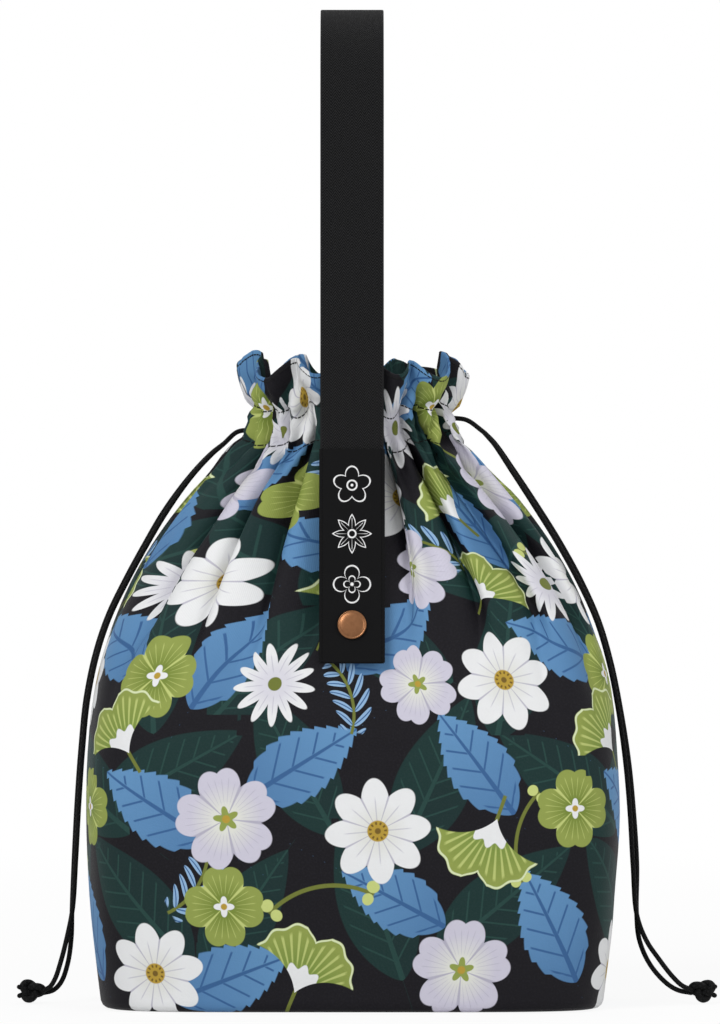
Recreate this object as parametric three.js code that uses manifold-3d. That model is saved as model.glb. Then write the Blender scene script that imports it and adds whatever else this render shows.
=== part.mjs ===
// Drawstring cooler bag: a padded printed-cloth bag with a gathered neck, two drawcords and a
// webbing handle that is sewn on behind and snapped on in front.
// Millimetres, +Z up, the front faces -Y, the origin is the middle of the base on the ground.

import * as THREE from "three";
import { mergeVertices } from "three/addons/utils/BufferGeometryUtils.js";
import Module from "manifold-3d";

const wasm = await Module();
wasm.setup();

// Outer cloth of the body, measured over the crests of the gathers
const BASE_WIDTH = 254;
const BASE_DEPTH = 150;
const BASE_EDGE_RADIUS = 6;
const WIDTH_SWELL = 8;
const DEPTH_SWELL = 4;
const BELLY_WIDTH = BASE_WIDTH + 2 * WIDTH_SWELL;
const BELLY_DEPTH = BASE_DEPTH + 2 * DEPTH_SWELL;
const BELLY_HEIGHT = 100;
const NECK_WIDTH = 107;
const NECK_DEPTH = 74;
const NECK_HEIGHT = 294;
const RIM_WIDTH = 120;
const RIM_DEPTH = 88;
const RIM_HEIGHT = 333;

// Exponents that shape the body: squareness in plan, and the fall of the shoulder
const BODY_SQUARENESS = 5;
const NECK_SQUARENESS = 2.2;
const SHOULDER_FULLNESS = 2.6;
const SHOULDER_EASE = 1.1;

// Gathers, each drawn with one crest and one valley
const PLEATS = 16;
const NECK_PLEAT_DEPTH = 9;
const RIM_PLEAT_DEPTH = 12;

// Layers of the wall and of the base
const CLOTH = 0.8;
const FOAM = 4;
const LINING = 0.6;
const LINING_HEIGHT = 281;
const BOARD = 1.5;
const FACING_BOTTOM = 274;
const FIT = 0.4;

// Drawcords and the tunnel round the neck that they run in
const CORD = 2.5;
const TUNNEL_BOTTOM = 286;
const TUNNEL_TOP = 303;
const LEFT_CORD_HEIGHT = 291.5;
const RIGHT_CORD_HEIGHT = 297.5;
const CORD_EXIT_ANGLE = 0.14;
const CORD_GAP = 0.3;
const CORD_SIDES = 8;
const CORD_STEP = 7.4;

// Webbing handle, its front tab and the patch on the tab
const WEBBING_WIDTH = 32;
const WEBBING = 1.4;
const HANDLE_TOP_HEIGHT = 505;
const HANDLE_HALF_SPAN = 47.5;
const HANDLE_HINGE_HEIGHT = 338;
const TAB_HINGE_HEIGHT = 284;
const STRAP_END_HEIGHT = 176;
const STRAP_LEAVES_BODY = 232;
const LEAN_STEP = 1;
const BEND_GAP = 0.3;
const PATCH_WIDTH = 33;
const PATCH = 0.7;
const PATCH_MARGIN = 2;

// Snap fastener, stacked outwards along its own axis
const SNAP_HEIGHT = 193.5;
const SNAP_CLEARANCE = 0.3;
const SNAP_SEAT_MARGIN = 1;
const CAP_RADIUS = 7.3;
const CAP_THICKNESS = 1.7;
const SOCKET_RADIUS = 5.6;
const SOCKET_THICKNESS = 2;
const SOCKET_BORE = 2.7;
const STUD_RADIUS = 2.3;
const STUD_GROOVE = 0.4;
const STUD_HEAD = 1.2;
const STUD_NOSE = 0.7;
const STUD_FLANGE_RADIUS = 5.2;
const STUD_FLANGE = 0.6;
const SHANK_RADIUS = 1.5;
const BACKING_THICKNESS = 0.8;
const METAL_EDGE = 0.3;

// Knots at the cord ends, lying on the ground
const KNOT_RADIUS = 5.4;
const KNOT_LENGTH = 14;
const KNOT_HEIGHT = 5.8;

// Routes of the free cord strands, from the neck down the side to the knot
const LEFT_FRONT_ROUTE = [
  [-65.2, -2.8, 284.6],
  [-71.4, -3.2, 279.2],
  [-81.6, -3.8, 268],
  [-94, -4.4, 250.5],
  [-104.4, -4.8, 233],
  [-114.2, -5.2, 215],
  [-123, -5.5, 197],
  [-129.4, -5.8, 178],
  [-134.2, -6, 155],
  [-136.8, -6, 130],
  [-138.8, -5.6, 102],
  [-140.4, -4.6, 74],
  [-142.2, -3, 48],
  [-145.4, -2.4, 32],
  [-148.4, -2.2, 20.5],
  [-151.2, -1.9, 12.2],
  [-153.9, -1.7, 8.1],
  [-157.2, -1.6, 6.6],
];
const LEFT_BACK_ROUTE = [
  [-65.2, 2.8, 284.6],
  [-71.8, 3.2, 279.4],
  [-82.4, 3.8, 268.2],
  [-95.4, 4.4, 250.8],
  [-105.8, 4.8, 233.2],
  [-115.6, 5.2, 215.2],
  [-124.4, 5.5, 197],
  [-130.8, 5.8, 178],
  [-135.6, 6, 155],
  [-138.2, 6, 130],
  [-140.2, 5.6, 102],
  [-141.6, 4.6, 74],
  [-142.6, 3, 48],
  [-143, 2.4, 33],
  [-144.8, 2.2, 20],
  [-148.2, 1.9, 10.4],
  [-152.2, 1.7, 6.3],
  [-157.2, 1.6, 5],
];
const RIGHT_FRONT_ROUTE = [
  [67.2, -2.8, 290.2],
  [72.2, -3.2, 284.4],
  [81, -3.8, 271],
  [92.6, -4.4, 253],
  [104.4, -4.8, 234],
  [115.6, -5.2, 213.5],
  [124.4, -5.5, 194],
  [130.8, -5.8, 172],
  [135.6, -6, 147],
  [139, -5.8, 122],
  [141.2, -5, 97],
  [142.8, -4, 70],
  [144.8, -2.6, 45],
  [149.6, -2.2, 32],
  [156, -2, 22.5],
  [163, -1.8, 13.5],
  [168, -1.7, 8.8],
  [172.6, -1.6, 6.8],
];
const RIGHT_BACK_ROUTE = [
  [67.2, 2.8, 290.2],
  [72.6, 3.2, 284.7],
  [82, 3.8, 271.4],
  [94, 4.4, 253.4],
  [106, 4.8, 234.2],
  [117.2, 5.2, 213.6],
  [125.8, 5.5, 194],
  [132.2, 5.8, 172],
  [137.2, 6, 147],
  [141, 5.8, 122],
  [143.4, 5, 97],
  [145, 4, 70],
  [144.8, 2.6, 46],
  [146.2, 2.2, 32],
  [151.6, 2, 19.5],
  [160, 1.8, 9.9],
  [166, 1.7, 6.3],
  [172.6, 1.6, 5],
];

// Materials
const printedCloth = () => new THREE.MeshStandardMaterial({ color: 0x2b2830, roughness: 0.75 });
const foamSheet = () => new THREE.MeshStandardMaterial({ color: 0xe8e6df, roughness: 0.9 });
const foilLining = () => new THREE.MeshStandardMaterial({ color: 0xc4c7c9, roughness: 0.35 });
const greyBoard = () => new THREE.MeshStandardMaterial({ color: 0x8d8f90, roughness: 0.7 });
const blackWebbing = () => new THREE.MeshStandardMaterial({ color: 0x1b1b1b, roughness: 0.85 });
const blackRibbon = () => new THREE.MeshStandardMaterial({ color: 0x161616, roughness: 0.6 });
const blackCord = () => new THREE.MeshStandardMaterial({ color: 0x121212, roughness: 0.8 });
const copper = () =>
  new THREE.MeshStandardMaterial({ color: 0xa5734f, roughness: 0.4, metalness: 0.9 });

// Small number helpers
const clampShare = (value, from, to) => Math.min(1, Math.max(0, (value - from) / (to - from)));
const smoothShare = (share) => share * share * (3 - 2 * share);
const mix = (from, to, share) => from + (to - from) * share;

function evenSteps(from, to, count) {
  return Array.from({ length: count + 1 }, (_, i) => mix(from, to, i / count));
}

// The cloth stays flat round the snap, so that its flange seats: the foam ends just below that
// place, and the gathers start just above it
const SNAP_SEAT = STUD_FLANGE_RADIUS + SNAP_SEAT_MARGIN;
const FOAM_HEIGHT = SNAP_HEIGHT - SNAP_SEAT;
const PLEAT_START_HEIGHT = SNAP_HEIGHT + SNAP_SEAT;
const FOAM_BOTTOM = CLOTH + FIT;

// Half of the body's width or depth at a height, over the crests of the gathers
function halfSize(z, base, belly, neck, rim) {
  if (z < BELLY_HEIGHT) {
    const swell = Math.sin((Math.PI / 2) * (z / BELLY_HEIGHT));
    return mix(base, belly, swell) / 2 - edgeInset(z);
  }
  if (z < NECK_HEIGHT) {
    const climb = (z - BELLY_HEIGHT) / (NECK_HEIGHT - BELLY_HEIGHT);
    return mix(neck, belly, (1 - climb ** SHOULDER_FULLNESS) ** SHOULDER_EASE) / 2;
  }
  return mix(neck, rim, clampShare(z, NECK_HEIGHT, RIM_HEIGHT)) / 2;
}

// How far the rounded edge under the wall draws in near the ground
function edgeInset(z) {
  const drop = Math.max(0, BASE_EDGE_RADIUS - z);
  return BASE_EDGE_RADIUS - Math.sqrt(BASE_EDGE_RADIUS ** 2 - drop ** 2);
}

const halfWidth = (z) => halfSize(z, BASE_WIDTH, BELLY_WIDTH, NECK_WIDTH, RIM_WIDTH);
const halfDepth = (z) => halfSize(z, BASE_DEPTH, BELLY_DEPTH, NECK_DEPTH, RIM_DEPTH);

function squareness(z) {
  const share = smoothShare(clampShare(z, BELLY_HEIGHT, NECK_HEIGHT));
  return mix(BODY_SQUARENESS, NECK_SQUARENESS, share);
}

function pleatDepth(z) {
  if (z < TUNNEL_TOP) {
    return NECK_PLEAT_DEPTH * smoothShare(clampShare(z, PLEAT_START_HEIGHT, TUNNEL_BOTTOM));
  }
  return mix(NECK_PLEAT_DEPTH, RIM_PLEAT_DEPTH, clampShare(z, TUNNEL_TOP, RIM_HEIGHT));
}

// A point of the smooth shell at an angle in plan, and the way out of the bag there
function crest(z, angle) {
  const a = halfWidth(z);
  const b = halfDepth(z);
  const power = squareness(z);
  const cos = Math.cos(angle);
  const sin = Math.sin(angle);
  const reach = (Math.abs(cos / a) ** power + Math.abs(sin / b) ** power) ** (-1 / power);
  const point = new THREE.Vector2(cos * reach, sin * reach);
  const out = new THREE.Vector2(
    (Math.sign(cos) * Math.abs(point.x / a) ** (power - 1)) / a,
    (Math.sign(sin) * Math.abs(point.y / b) ** (power - 1)) / b,
  ).normalize();
  return { point, out };
}

function insidePoint(z, angle, inwards) {
  const { point, out } = crest(z, angle);
  return new THREE.Vector3(point.x - out.x * inwards, point.y - out.y * inwards, z);
}

// Four columns of points to each pleat: crest, slope, valley, slope
const COLUMNS = PLEATS * 4;
const columnAngle = (column) => (2 * Math.PI * column) / COLUMNS;
const pleatDrop = (z, angle) => (pleatDepth(z) * (1 - Math.cos(PLEATS * angle))) / 2;

// Heights at which every layer of the wall has a row of points
const LEVELS = [
  0,
  FOAM_BOTTOM,
  BASE_EDGE_RADIUS,
  BELLY_HEIGHT / 2,
  BELLY_HEIGHT,
  (BELLY_HEIGHT + FOAM_HEIGHT) / 2,
  FOAM_HEIGHT,
  ...evenSteps(PLEAT_START_HEIGHT, FACING_BOTTOM, 3),
  TUNNEL_BOTTOM,
  NECK_HEIGHT,
  TUNNEL_TOP,
  TUNNEL_TOP + CORD,
  RIM_HEIGHT,
].sort((a, b) => a - b);

function levelsBetween(bottom, top) {
  return [bottom, ...LEVELS.filter((z) => z > bottom && z < top), top];
}

// A point at a depth in the wall as it is built, straight between the two rows next to it
function wallPoint(z, angle, inwards) {
  const above = Math.max(1, LEVELS.findIndex((level) => level >= z));
  const [low, high] = [LEVELS[above - 1], LEVELS[above]];
  return insidePoint(low, angle, inwards).lerp(
    insidePoint(high, angle, inwards),
    (z - low) / (high - low),
  );
}

// Collects the faces of one closed solid
class Faces {
  positions = [];
  indices = [];

  add(point) {
    this.positions.push(point.x, point.y, point.z);
    return this.positions.length / 3 - 1;
  }

  quad(a, b, c, d) {
    this.indices.push(a, b, c, a, c, d);
  }

  geometry() {
    const geometry = new THREE.BufferGeometry();
    geometry.setAttribute("position", new THREE.Float32BufferAttribute(this.positions, 3));
    geometry.setIndex(this.indices);
    return geometry;
  }
}

// A wall of the bag between two depths under the crests. A wall with no end columns goes all
// the way round, and seamGap is the room left at each end of the others.
function wall({ bottom, top, outer, inner, from = 0, to = COLUMNS, seamGap = 0 }) {
  const closed = to - from === COLUMNS && seamGap === 0;
  const faces = new Faces();
  const levels = levelsBetween(bottom, top);
  const columns = Array.from({ length: to - from + (closed ? 0 : 1) }, (_, i) => from + i);
  const surface = (z, column, depth) => {
    const angle = columnAngle(column);
    const point = wallPoint(z, angle, depth(z, angle));
    const side = (column === from) - (column === to);
    point.x -= Math.sin(angle) * side * seamGap;
    point.y += Math.cos(angle) * side * seamGap;
    return point;
  };
  const rows = (depth) => levels.map((z) => columns.map((c) => faces.add(surface(z, c, depth))));
  const skin = rows(outer);
  const back = rows(inner);
  const last = levels.length - 1;
  const spans = closed ? columns.length : columns.length - 1;
  for (let j = 0; j < spans; j++) {
    const k = (j + 1) % columns.length;
    for (let i = 0; i < last; i++) {
      faces.quad(skin[i][j], skin[i][k], skin[i + 1][k], skin[i + 1][j]);
      faces.quad(back[i][j], back[i + 1][j], back[i + 1][k], back[i][k]);
    }
    faces.quad(skin[0][j], back[0][j], back[0][k], skin[0][k]);
    faces.quad(skin[last][j], skin[last][k], back[last][k], back[last][j]);
  }
  if (!closed) {
    const end = columns.length - 1;
    for (let i = 0; i < last; i++) {
      faces.quad(skin[i][0], skin[i + 1][0], back[i + 1][0], back[i][0]);
      faces.quad(skin[i][end], back[i][end], back[i + 1][end], skin[i + 1][end]);
    }
  }
  return faces.geometry();
}

// A flat sheet that fills the wall's outline at its own lower face, drawn in by a depth
function baseSheet(bottom, thickness, inwards) {
  const outline = Array.from({ length: COLUMNS }, (_, column) => {
    const point = wallPoint(bottom, columnAngle(column), inwards);
    return new THREE.Vector2(point.x, point.y);
  });
  const sheet = new THREE.ExtrudeGeometry(new THREE.Shape(outline), {
    depth: thickness,
    bevelEnabled: false,
  });
  sheet.translate(0, 0, bottom);
  return sheet;
}

// Boolean cuts
function toSolid(geometry) {
  const bare = geometry.clone();
  bare.deleteAttribute("normal");
  bare.deleteAttribute("uv");
  const merged = mergeVertices(bare, 1e-4);
  return new wasm.Manifold(
    new wasm.Mesh({
      numProp: 3,
      vertProperties: new Float32Array(merged.attributes.position.array),
      triVerts: new Uint32Array(merged.index.array),
    }),
  );
}

function fromSolid(solid) {
  const { vertProperties, triVerts } = solid.getMesh();
  const geometry = new THREE.BufferGeometry();
  geometry.setAttribute("position", new THREE.BufferAttribute(vertProperties, 3));
  geometry.setIndex(new THREE.BufferAttribute(triVerts, 1));
  return geometry;
}

const cut = (geometry, cutter) => fromSolid(toSolid(geometry).subtract(toSolid(cutter)));
const join = (one, other) => fromSolid(toSolid(one).add(toSolid(other)));

const group = new THREE.Group();

function addPiece(name, geometry, material, parent = group) {
  if (!geometry.attributes.normal) geometry.computeVertexNormals();
  const mesh = new THREE.Mesh(geometry, material);
  mesh.name = name;
  parent.add(mesh);
  return mesh;
}

// The snap's place: where its axis meets the front cloth, and how far that cloth leans there
const seatFoot = halfDepth(SNAP_HEIGHT - SNAP_SEAT);
const seatHead = halfDepth(SNAP_HEIGHT + SNAP_SEAT);
const snapFrame = new THREE.Group();
snapFrame.position.set(0, -(seatFoot + seatHead) / 2, SNAP_HEIGHT);
snapFrame.rotation.x = Math.PI / 2 - Math.atan((seatFoot - seatHead) / (2 * SNAP_SEAT));
snapFrame.updateMatrix();

function snapPin(radius, from, to) {
  const pin = new THREE.CylinderGeometry(radius, radius, to - from, 16);
  pin.rotateX(Math.PI / 2);
  pin.translate(0, 0, (from + to) / 2);
  return pin;
}

// A hole for the snap's shank through a piece that is given in the bag's own frame
function pierce(geometry, from, to) {
  const hole = snapPin(SHANK_RADIUS + SNAP_CLEARANCE, from, to);
  hole.applyMatrix4(snapFrame.matrix);
  return cut(geometry, hole);
}

// Outer cloth: a front and a back panel that meet in the side seams, each left open over a
// short stretch at the neck for the drawcords, and a flat base panel
const clothFace = (z, angle) => pleatDrop(z, angle);
const clothBack = (z, angle) => pleatDrop(z, angle) + CLOTH;
const EXIT_SLOT_DEPTH = 3 * CORD;

function exitSlot(side, height) {
  const reach = NECK_PLEAT_DEPTH + 2 * CORD;
  const slot = new THREE.BoxGeometry(2 * reach, EXIT_SLOT_DEPTH, CORD + 2 * FIT);
  slot.translate((side * NECK_WIDTH) / 2, 0, height);
  return slot;
}

function bodyPanel(from, to) {
  const panel = wall({
    bottom: 0,
    top: RIM_HEIGHT,
    outer: clothFace,
    inner: clothBack,
    from,
    to,
    seamGap: FIT / 2,
  });
  return cut(cut(panel, exitSlot(-1, LEFT_CORD_HEIGHT)), exitSlot(1, RIGHT_CORD_HEIGHT));
}

const frontPanel = bodyPanel(COLUMNS / 2, COLUMNS);
addPiece("outer_front_panel", pierce(frontPanel, -CLOTH * 4, CLOTH * 4), printedCloth());
addPiece("outer_back_panel", bodyPanel(0, COLUMNS / 2), printedCloth());
addPiece("outer_base_panel", baseSheet(0, CLOTH, CLOTH + FIT), printedCloth());

// Foam: four wall pads cut to meet at the corners, and a base pad over a stiffening board
const CORNER_COLUMN = Math.round(COLUMNS / 12);
const foamFace = () => CLOTH + FIT;
const foamBack = () => CLOTH + FIT + FOAM;

function foamPad(name, from, to) {
  const pad = wall({
    bottom: FOAM_BOTTOM,
    top: FOAM_HEIGHT,
    outer: foamFace,
    inner: foamBack,
    from,
    to,
    seamGap: FIT / 2,
  });
  addPiece(name, pad, foamSheet());
}

foamPad("foam_right_pad", -CORNER_COLUMN, CORNER_COLUMN);
foamPad("foam_back_pad", CORNER_COLUMN, COLUMNS / 2 - CORNER_COLUMN);
foamPad("foam_left_pad", COLUMNS / 2 - CORNER_COLUMN, COLUMNS / 2 + CORNER_COLUMN);
foamPad("foam_front_pad", COLUMNS / 2 + CORNER_COLUMN, COLUMNS - CORNER_COLUMN);

const BASE_FOAM_BOTTOM = FOAM_BOTTOM + BOARD + FIT;
addPiece("base_board", baseSheet(FOAM_BOTTOM, BOARD, foamBack() + FIT), greyBoard());
addPiece("foam_base_pad", baseSheet(BASE_FOAM_BOTTOM, FOAM, foamBack() + FIT), foamSheet());

// Lining: one welded bucket. Above the foam it closes up to the outer cloth and gathers with it.
const LINING_BOTTOM = BASE_FOAM_BOTTOM + FOAM + FIT;
const LINING_CLOSE_UP = (PLEAT_START_HEIGHT + FACING_BOTTOM) / 2;

function liningFace(z, angle) {
  const share = smoothShare(clampShare(z, FOAM_HEIGHT, LINING_CLOSE_UP));
  return pleatDrop(z, angle) + CLOTH + FIT + mix(FOAM + FIT, 0, share);
}

const liningBack = (z, angle) => liningFace(z, angle) + LINING;
const liningWall = wall({
  bottom: LINING_BOTTOM,
  top: LINING_HEIGHT,
  outer: liningFace,
  inner: liningBack,
});
const liningFloor = baseSheet(LINING_BOTTOM, LINING, foamBack() + FIT + LINING / 2);
addPiece("lining_bucket", join(liningWall, liningFloor), foilLining());

// Facing: the cloth turned in at the rim. It hangs inside the lining's top edge, and with the
// outer cloth it makes the tunnel for the drawcords, where it lies flat behind them.
function facingFace(z, angle) {
  const follow = pleatDrop(z, angle) + CLOTH + FIT;
  const overLining = z < TUNNEL_BOTTOM ? LINING + FIT : 0;
  const behindCords = pleatDepth(z) + CLOTH + FIT + CORD + 2 * FIT;
  const inTunnel = z >= TUNNEL_BOTTOM && z <= TUNNEL_TOP;
  return inTunnel ? behindCords : follow + overLining;
}

const facingBack = (z, angle) => facingFace(z, angle) + CLOTH;
addPiece(
  "mouth_facing",
  wall({ bottom: FACING_BOTTOM, top: RIM_HEIGHT, outer: facingFace, inner: facingBack }),
  printedCloth(),
);

// A round cord through a list of points, with flat ends
function cordSolid(points) {
  const curve = new THREE.CatmullRomCurve3(points, false, "centripetal");
  const section = new THREE.Shape(
    Array.from({ length: CORD_SIDES }, (_, i) => {
      const angle = (2 * Math.PI * (i + 0.5)) / CORD_SIDES;
      return new THREE.Vector2(Math.cos(angle), Math.sin(angle)).multiplyScalar(CORD / 2);
    }),
  );
  const steps = Math.round(curve.getLength() / CORD_STEP);
  return new THREE.ExtrudeGeometry(section, { steps, extrudePath: curve });
}

// The part of each drawcord that the bag holds: once round the neck in the tunnel, with both
// ends coming out of the side seam and bending down over the shoulder
function heldCord(side, height, exitPoint) {
  const ringDepth = pleatDepth(height) + CLOTH + FIT + CORD / 2;
  const first = CORD_EXIT_ANGLE;
  const ring = evenSteps(Math.PI + first, 3 * Math.PI - first, 28).map((angle) =>
    wallPoint(height, angle, ringDepth),
  );
  const lead = (y) => {
    const exit = new THREE.Vector3(...exitPoint);
    const slotX = (-NECK_WIDTH / 2) - CORD / 2;
    return [
      new THREE.Vector3(slotX + 3 * CORD, y * CORD, height),
      new THREE.Vector3(slotX, y * CORD * 0.72, height),
      new THREE.Vector3(slotX - 2 * CORD, y * CORD * 0.85, height - CORD / 3),
      new THREE.Vector3(-Math.abs(exit.x), y * Math.abs(exit.y), exit.z),
    ];
  };
  const path = [...lead(-1).reverse(), ...ring, ...lead(1)];
  return cordSolid(path.map((p) => new THREE.Vector3(-side * p.x, p.y, p.z)));
}

// The held cord stops short of the free strand's round end, so that the strand can swing
function heldEnd(route) {
  const start = new THREE.Vector3(...route[0]);
  const back = new THREE.Vector3(...route[0]).sub(new THREE.Vector3(...route[1])).normalize();
  return start.addScaledVector(back, CORD / 2 + CORD_GAP).toArray();
}

const leftHeld = heldCord(-1, LEFT_CORD_HEIGHT, heldEnd(LEFT_FRONT_ROUTE));
const rightHeld = heldCord(1, RIGHT_CORD_HEIGHT, heldEnd(RIGHT_FRONT_ROUTE));
addPiece("left_drawcord_in_tunnel", leftHeld, blackCord());
addPiece("right_drawcord_in_tunnel", rightHeld, blackCord());

// Free strands, each with a round upper end about which it swings, and their knots
function strandSolid(route) {
  const end = new THREE.SphereGeometry(CORD / 2, CORD_SIDES, 6);
  end.translate(...route[0]);
  return join(cordSolid(route.map((p) => new THREE.Vector3(...p))), end);
}

function knotSolid() {
  const entry = (KNOT_RADIUS * 2) / 3;
  const profile = [
    [0, 0],
    [entry, 0],
    [KNOT_RADIUS, KNOT_LENGTH * 0.2],
    [KNOT_RADIUS, KNOT_LENGTH * 0.45],
    [KNOT_RADIUS * 0.72, KNOT_LENGTH * 0.6],
    [KNOT_RADIUS * 0.85, KNOT_LENGTH * 0.78],
    [KNOT_RADIUS * 0.75, KNOT_LENGTH * 0.98],
    [0, KNOT_LENGTH],
  ].map(([radius, along]) => new THREE.Vector2(radius, along));
  return new THREE.LatheGeometry(profile, 12);
}

function freeCord(name, side, frontRoute, backRoute) {
  const cords = new THREE.Group();
  addPiece(`${name}_front_strand`, strandSolid(frontRoute), blackCord(), cords);
  addPiece(`${name}_back_strand`, strandSolid(backRoute), blackCord(), cords);
  const knot = addPiece(`${name}_knot`, knotSolid(), blackCord(), cords);
  knot.position.set(frontRoute.at(-1)[0] + side * 2 * CORD_GAP, 0, KNOT_HEIGHT);
  knot.rotation.z = (-side * Math.PI) / 2;
  group.add(cords);
}

freeCord("left_cord", -1, LEFT_FRONT_ROUTE, LEFT_BACK_ROUTE);
freeCord("right_cord", 1, RIGHT_FRONT_ROUTE, RIGHT_BACK_ROUTE);

// The line beside a line of (y, z) points, to the left of its way for a positive offset
function besideLine(line, offset) {
  return line.map((point, i) => {
    const before = line[Math.max(0, i - 1)];
    const after = line[Math.min(line.length - 1, i + 1)];
    const along = after.clone().sub(before).normalize();
    return new THREE.Vector2(point.x - along.y * offset, point.y + along.x * offset);
  });
}

// Half a circle round the end of a line of (y, z) points, from its right side to its left
function roundTip(line, thickness) {
  const tip = line.at(-1);
  const heading = tip.clone().sub(line.at(-2)).angle();
  return [-60, -30, 0, 30, 60].map((degrees) => {
    const angle = heading + THREE.MathUtils.degToRad(degrees);
    const reach = new THREE.Vector2(Math.cos(angle), Math.sin(angle));
    return tip.clone().addScaledVector(reach, thickness / 2);
  });
}

// A band of webbing whose side view follows a line of (y, z) points, centred on x = 0. Its ends
// are flat, or half round about the ends of the line.
function band(line, width, thickness, roundEnds = false) {
  const outline = [
    ...besideLine(line, -thickness / 2),
    ...(roundEnds ? roundTip(line, thickness) : []),
    ...besideLine(line, thickness / 2).reverse(),
    ...(roundEnds ? roundTip([...line].reverse(), thickness) : []),
  ];
  const strip = new THREE.ExtrudeGeometry(new THREE.Shape(outline), {
    depth: width,
    bevelEnabled: false,
  });
  strip.translate(0, 0, -width / 2);
  strip.applyMatrix4(
    new THREE.Matrix4().makeBasis(
      new THREE.Vector3(0, 1, 0),
      new THREE.Vector3(0, 0, 1),
      new THREE.Vector3(1, 0, 0),
    ),
  );
  return strip;
}

// How far the middle of the webbing lies outside the cloth: right on it behind, and out by
// the snap's own thickness in front
const socketBack = SNAP_CLEARANCE + STUD_FLANGE + SNAP_CLEARANCE;
const tabBack = socketBack + SOCKET_THICKNESS + SNAP_CLEARANCE;
const FRONT_STANDOFF = tabBack + WEBBING / 2;
const BACK_STANDOFF = FIT + WEBBING / 2;

// Line of the strap from its lower end up to the handle's hinge, as (distance out, height)
function strapLine(standoff, bottom, top) {
  const onBody = evenSteps(STRAP_END_HEIGHT, STRAP_LEAVES_BODY, 4).map((z) => {
    const lean = (halfDepth(z + LEAN_STEP) - halfDepth(z - LEAN_STEP)) / (2 * LEAN_STEP);
    return new THREE.Vector2(halfDepth(z) + standoff * Math.hypot(1, lean), z);
  });
  const hinge = new THREE.Vector2(HANDLE_HALF_SPAN, HANDLE_HINGE_HEIGHT);
  const curve = new THREE.SplineCurve([...onBody, hinge]);
  const samples = curve.getSpacedPoints(160);
  const at = (z) => {
    const i = samples.findIndex((p, n) => n > 0 && p.y >= z) || 1;
    const a = samples[i - 1];
    const b = samples[i];
    return new THREE.Vector2(mix(a.x, b.x, (z - a.y) / (b.y - a.y)), z);
  };
  return evenSteps(bottom, top, 12).map(at);
}

const atFront = (line) => line.map((p) => new THREE.Vector2(-p.x, p.y));

// Strap: the run sewn to the back panel, and the run in front of the gathers down to the tab
const bendRoom = WEBBING / 2 + BEND_GAP;
const hingeBottom = HANDLE_HINGE_HEIGHT - bendRoom;
const backRun = strapLine(BACK_STANDOFF, STRAP_END_HEIGHT, hingeBottom);
addPiece("strap_back_run", band(backRun, WEBBING_WIDTH, WEBBING), blackWebbing());
const frontRun = atFront(strapLine(FRONT_STANDOFF, TAB_HINGE_HEIGHT + bendRoom, hingeBottom));
addPiece("strap_front_run", band(frontRun, WEBBING_WIDTH, WEBBING), blackWebbing());

// Handle: two legs and the arch over them. Where the webbing bends, one of the two pieces has a
// half round end about the bending line, and the other stops short of it.
const ARCH_RADIUS = HANDLE_HALF_SPAN;
const legLength = HANDLE_TOP_HEIGHT - WEBBING / 2 - ARCH_RADIUS - HANDLE_HINGE_HEIGHT;
const legLine = [new THREE.Vector2(0, 0), new THREE.Vector2(0, legLength)];

for (const [name, side] of [["handle_back_leg", 1], ["handle_front_leg", -1]]) {
  const leg = addPiece(name, band(legLine, WEBBING_WIDTH, WEBBING, true), blackWebbing());
  leg.position.set(0, side * HANDLE_HALF_SPAN, HANDLE_HINGE_HEIGHT);
}

const archEnd = bendRoom / ARCH_RADIUS;
const archLine = evenSteps(archEnd, Math.PI - archEnd, 18).map(
  (angle) => new THREE.Vector2(Math.cos(angle) * ARCH_RADIUS, Math.sin(angle) * ARCH_RADIUS),
);
const arch = addPiece("handle_arch", band(archLine, WEBBING_WIDTH, WEBBING), blackWebbing());
arch.position.z = HANDLE_HINGE_HEIGHT + legLength;

// Tab: the snapped end of the strap, with a smooth ribbon patch over it
const tabLine = atFront(strapLine(FRONT_STANDOFF, STRAP_END_HEIGHT, TAB_HINGE_HEIGHT));
const patchOffset = WEBBING / 2 + SNAP_CLEARANCE + PATCH / 2;
const underPatch = strapLine(FRONT_STANDOFF, STRAP_END_HEIGHT, TAB_HINGE_HEIGHT - PATCH_MARGIN);
const patchLine = besideLine(atFront(underPatch), patchOffset);
const tab = band(tabLine, WEBBING_WIDTH, WEBBING, true);
const patch = band(patchLine, PATCH_WIDTH, PATCH);
const patchFront = tabBack + WEBBING + SNAP_CLEARANCE + PATCH;
addPiece("strap_tab", pierce(tab, 0, 2 * patchFront), blackWebbing());
addPiece("tab_patch", pierce(patch, 0, 2 * patchFront), blackRibbon());

// Snap: cap and socket clamp the tab, stud and backing clamp the front panel
function turned(profile) {
  const solid = new THREE.LatheGeometry(
    profile.map(([radius, along]) => new THREE.Vector2(radius, along)),
    18,
  );
  solid.rotateX(Math.PI / 2);
  return solid;
}

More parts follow.
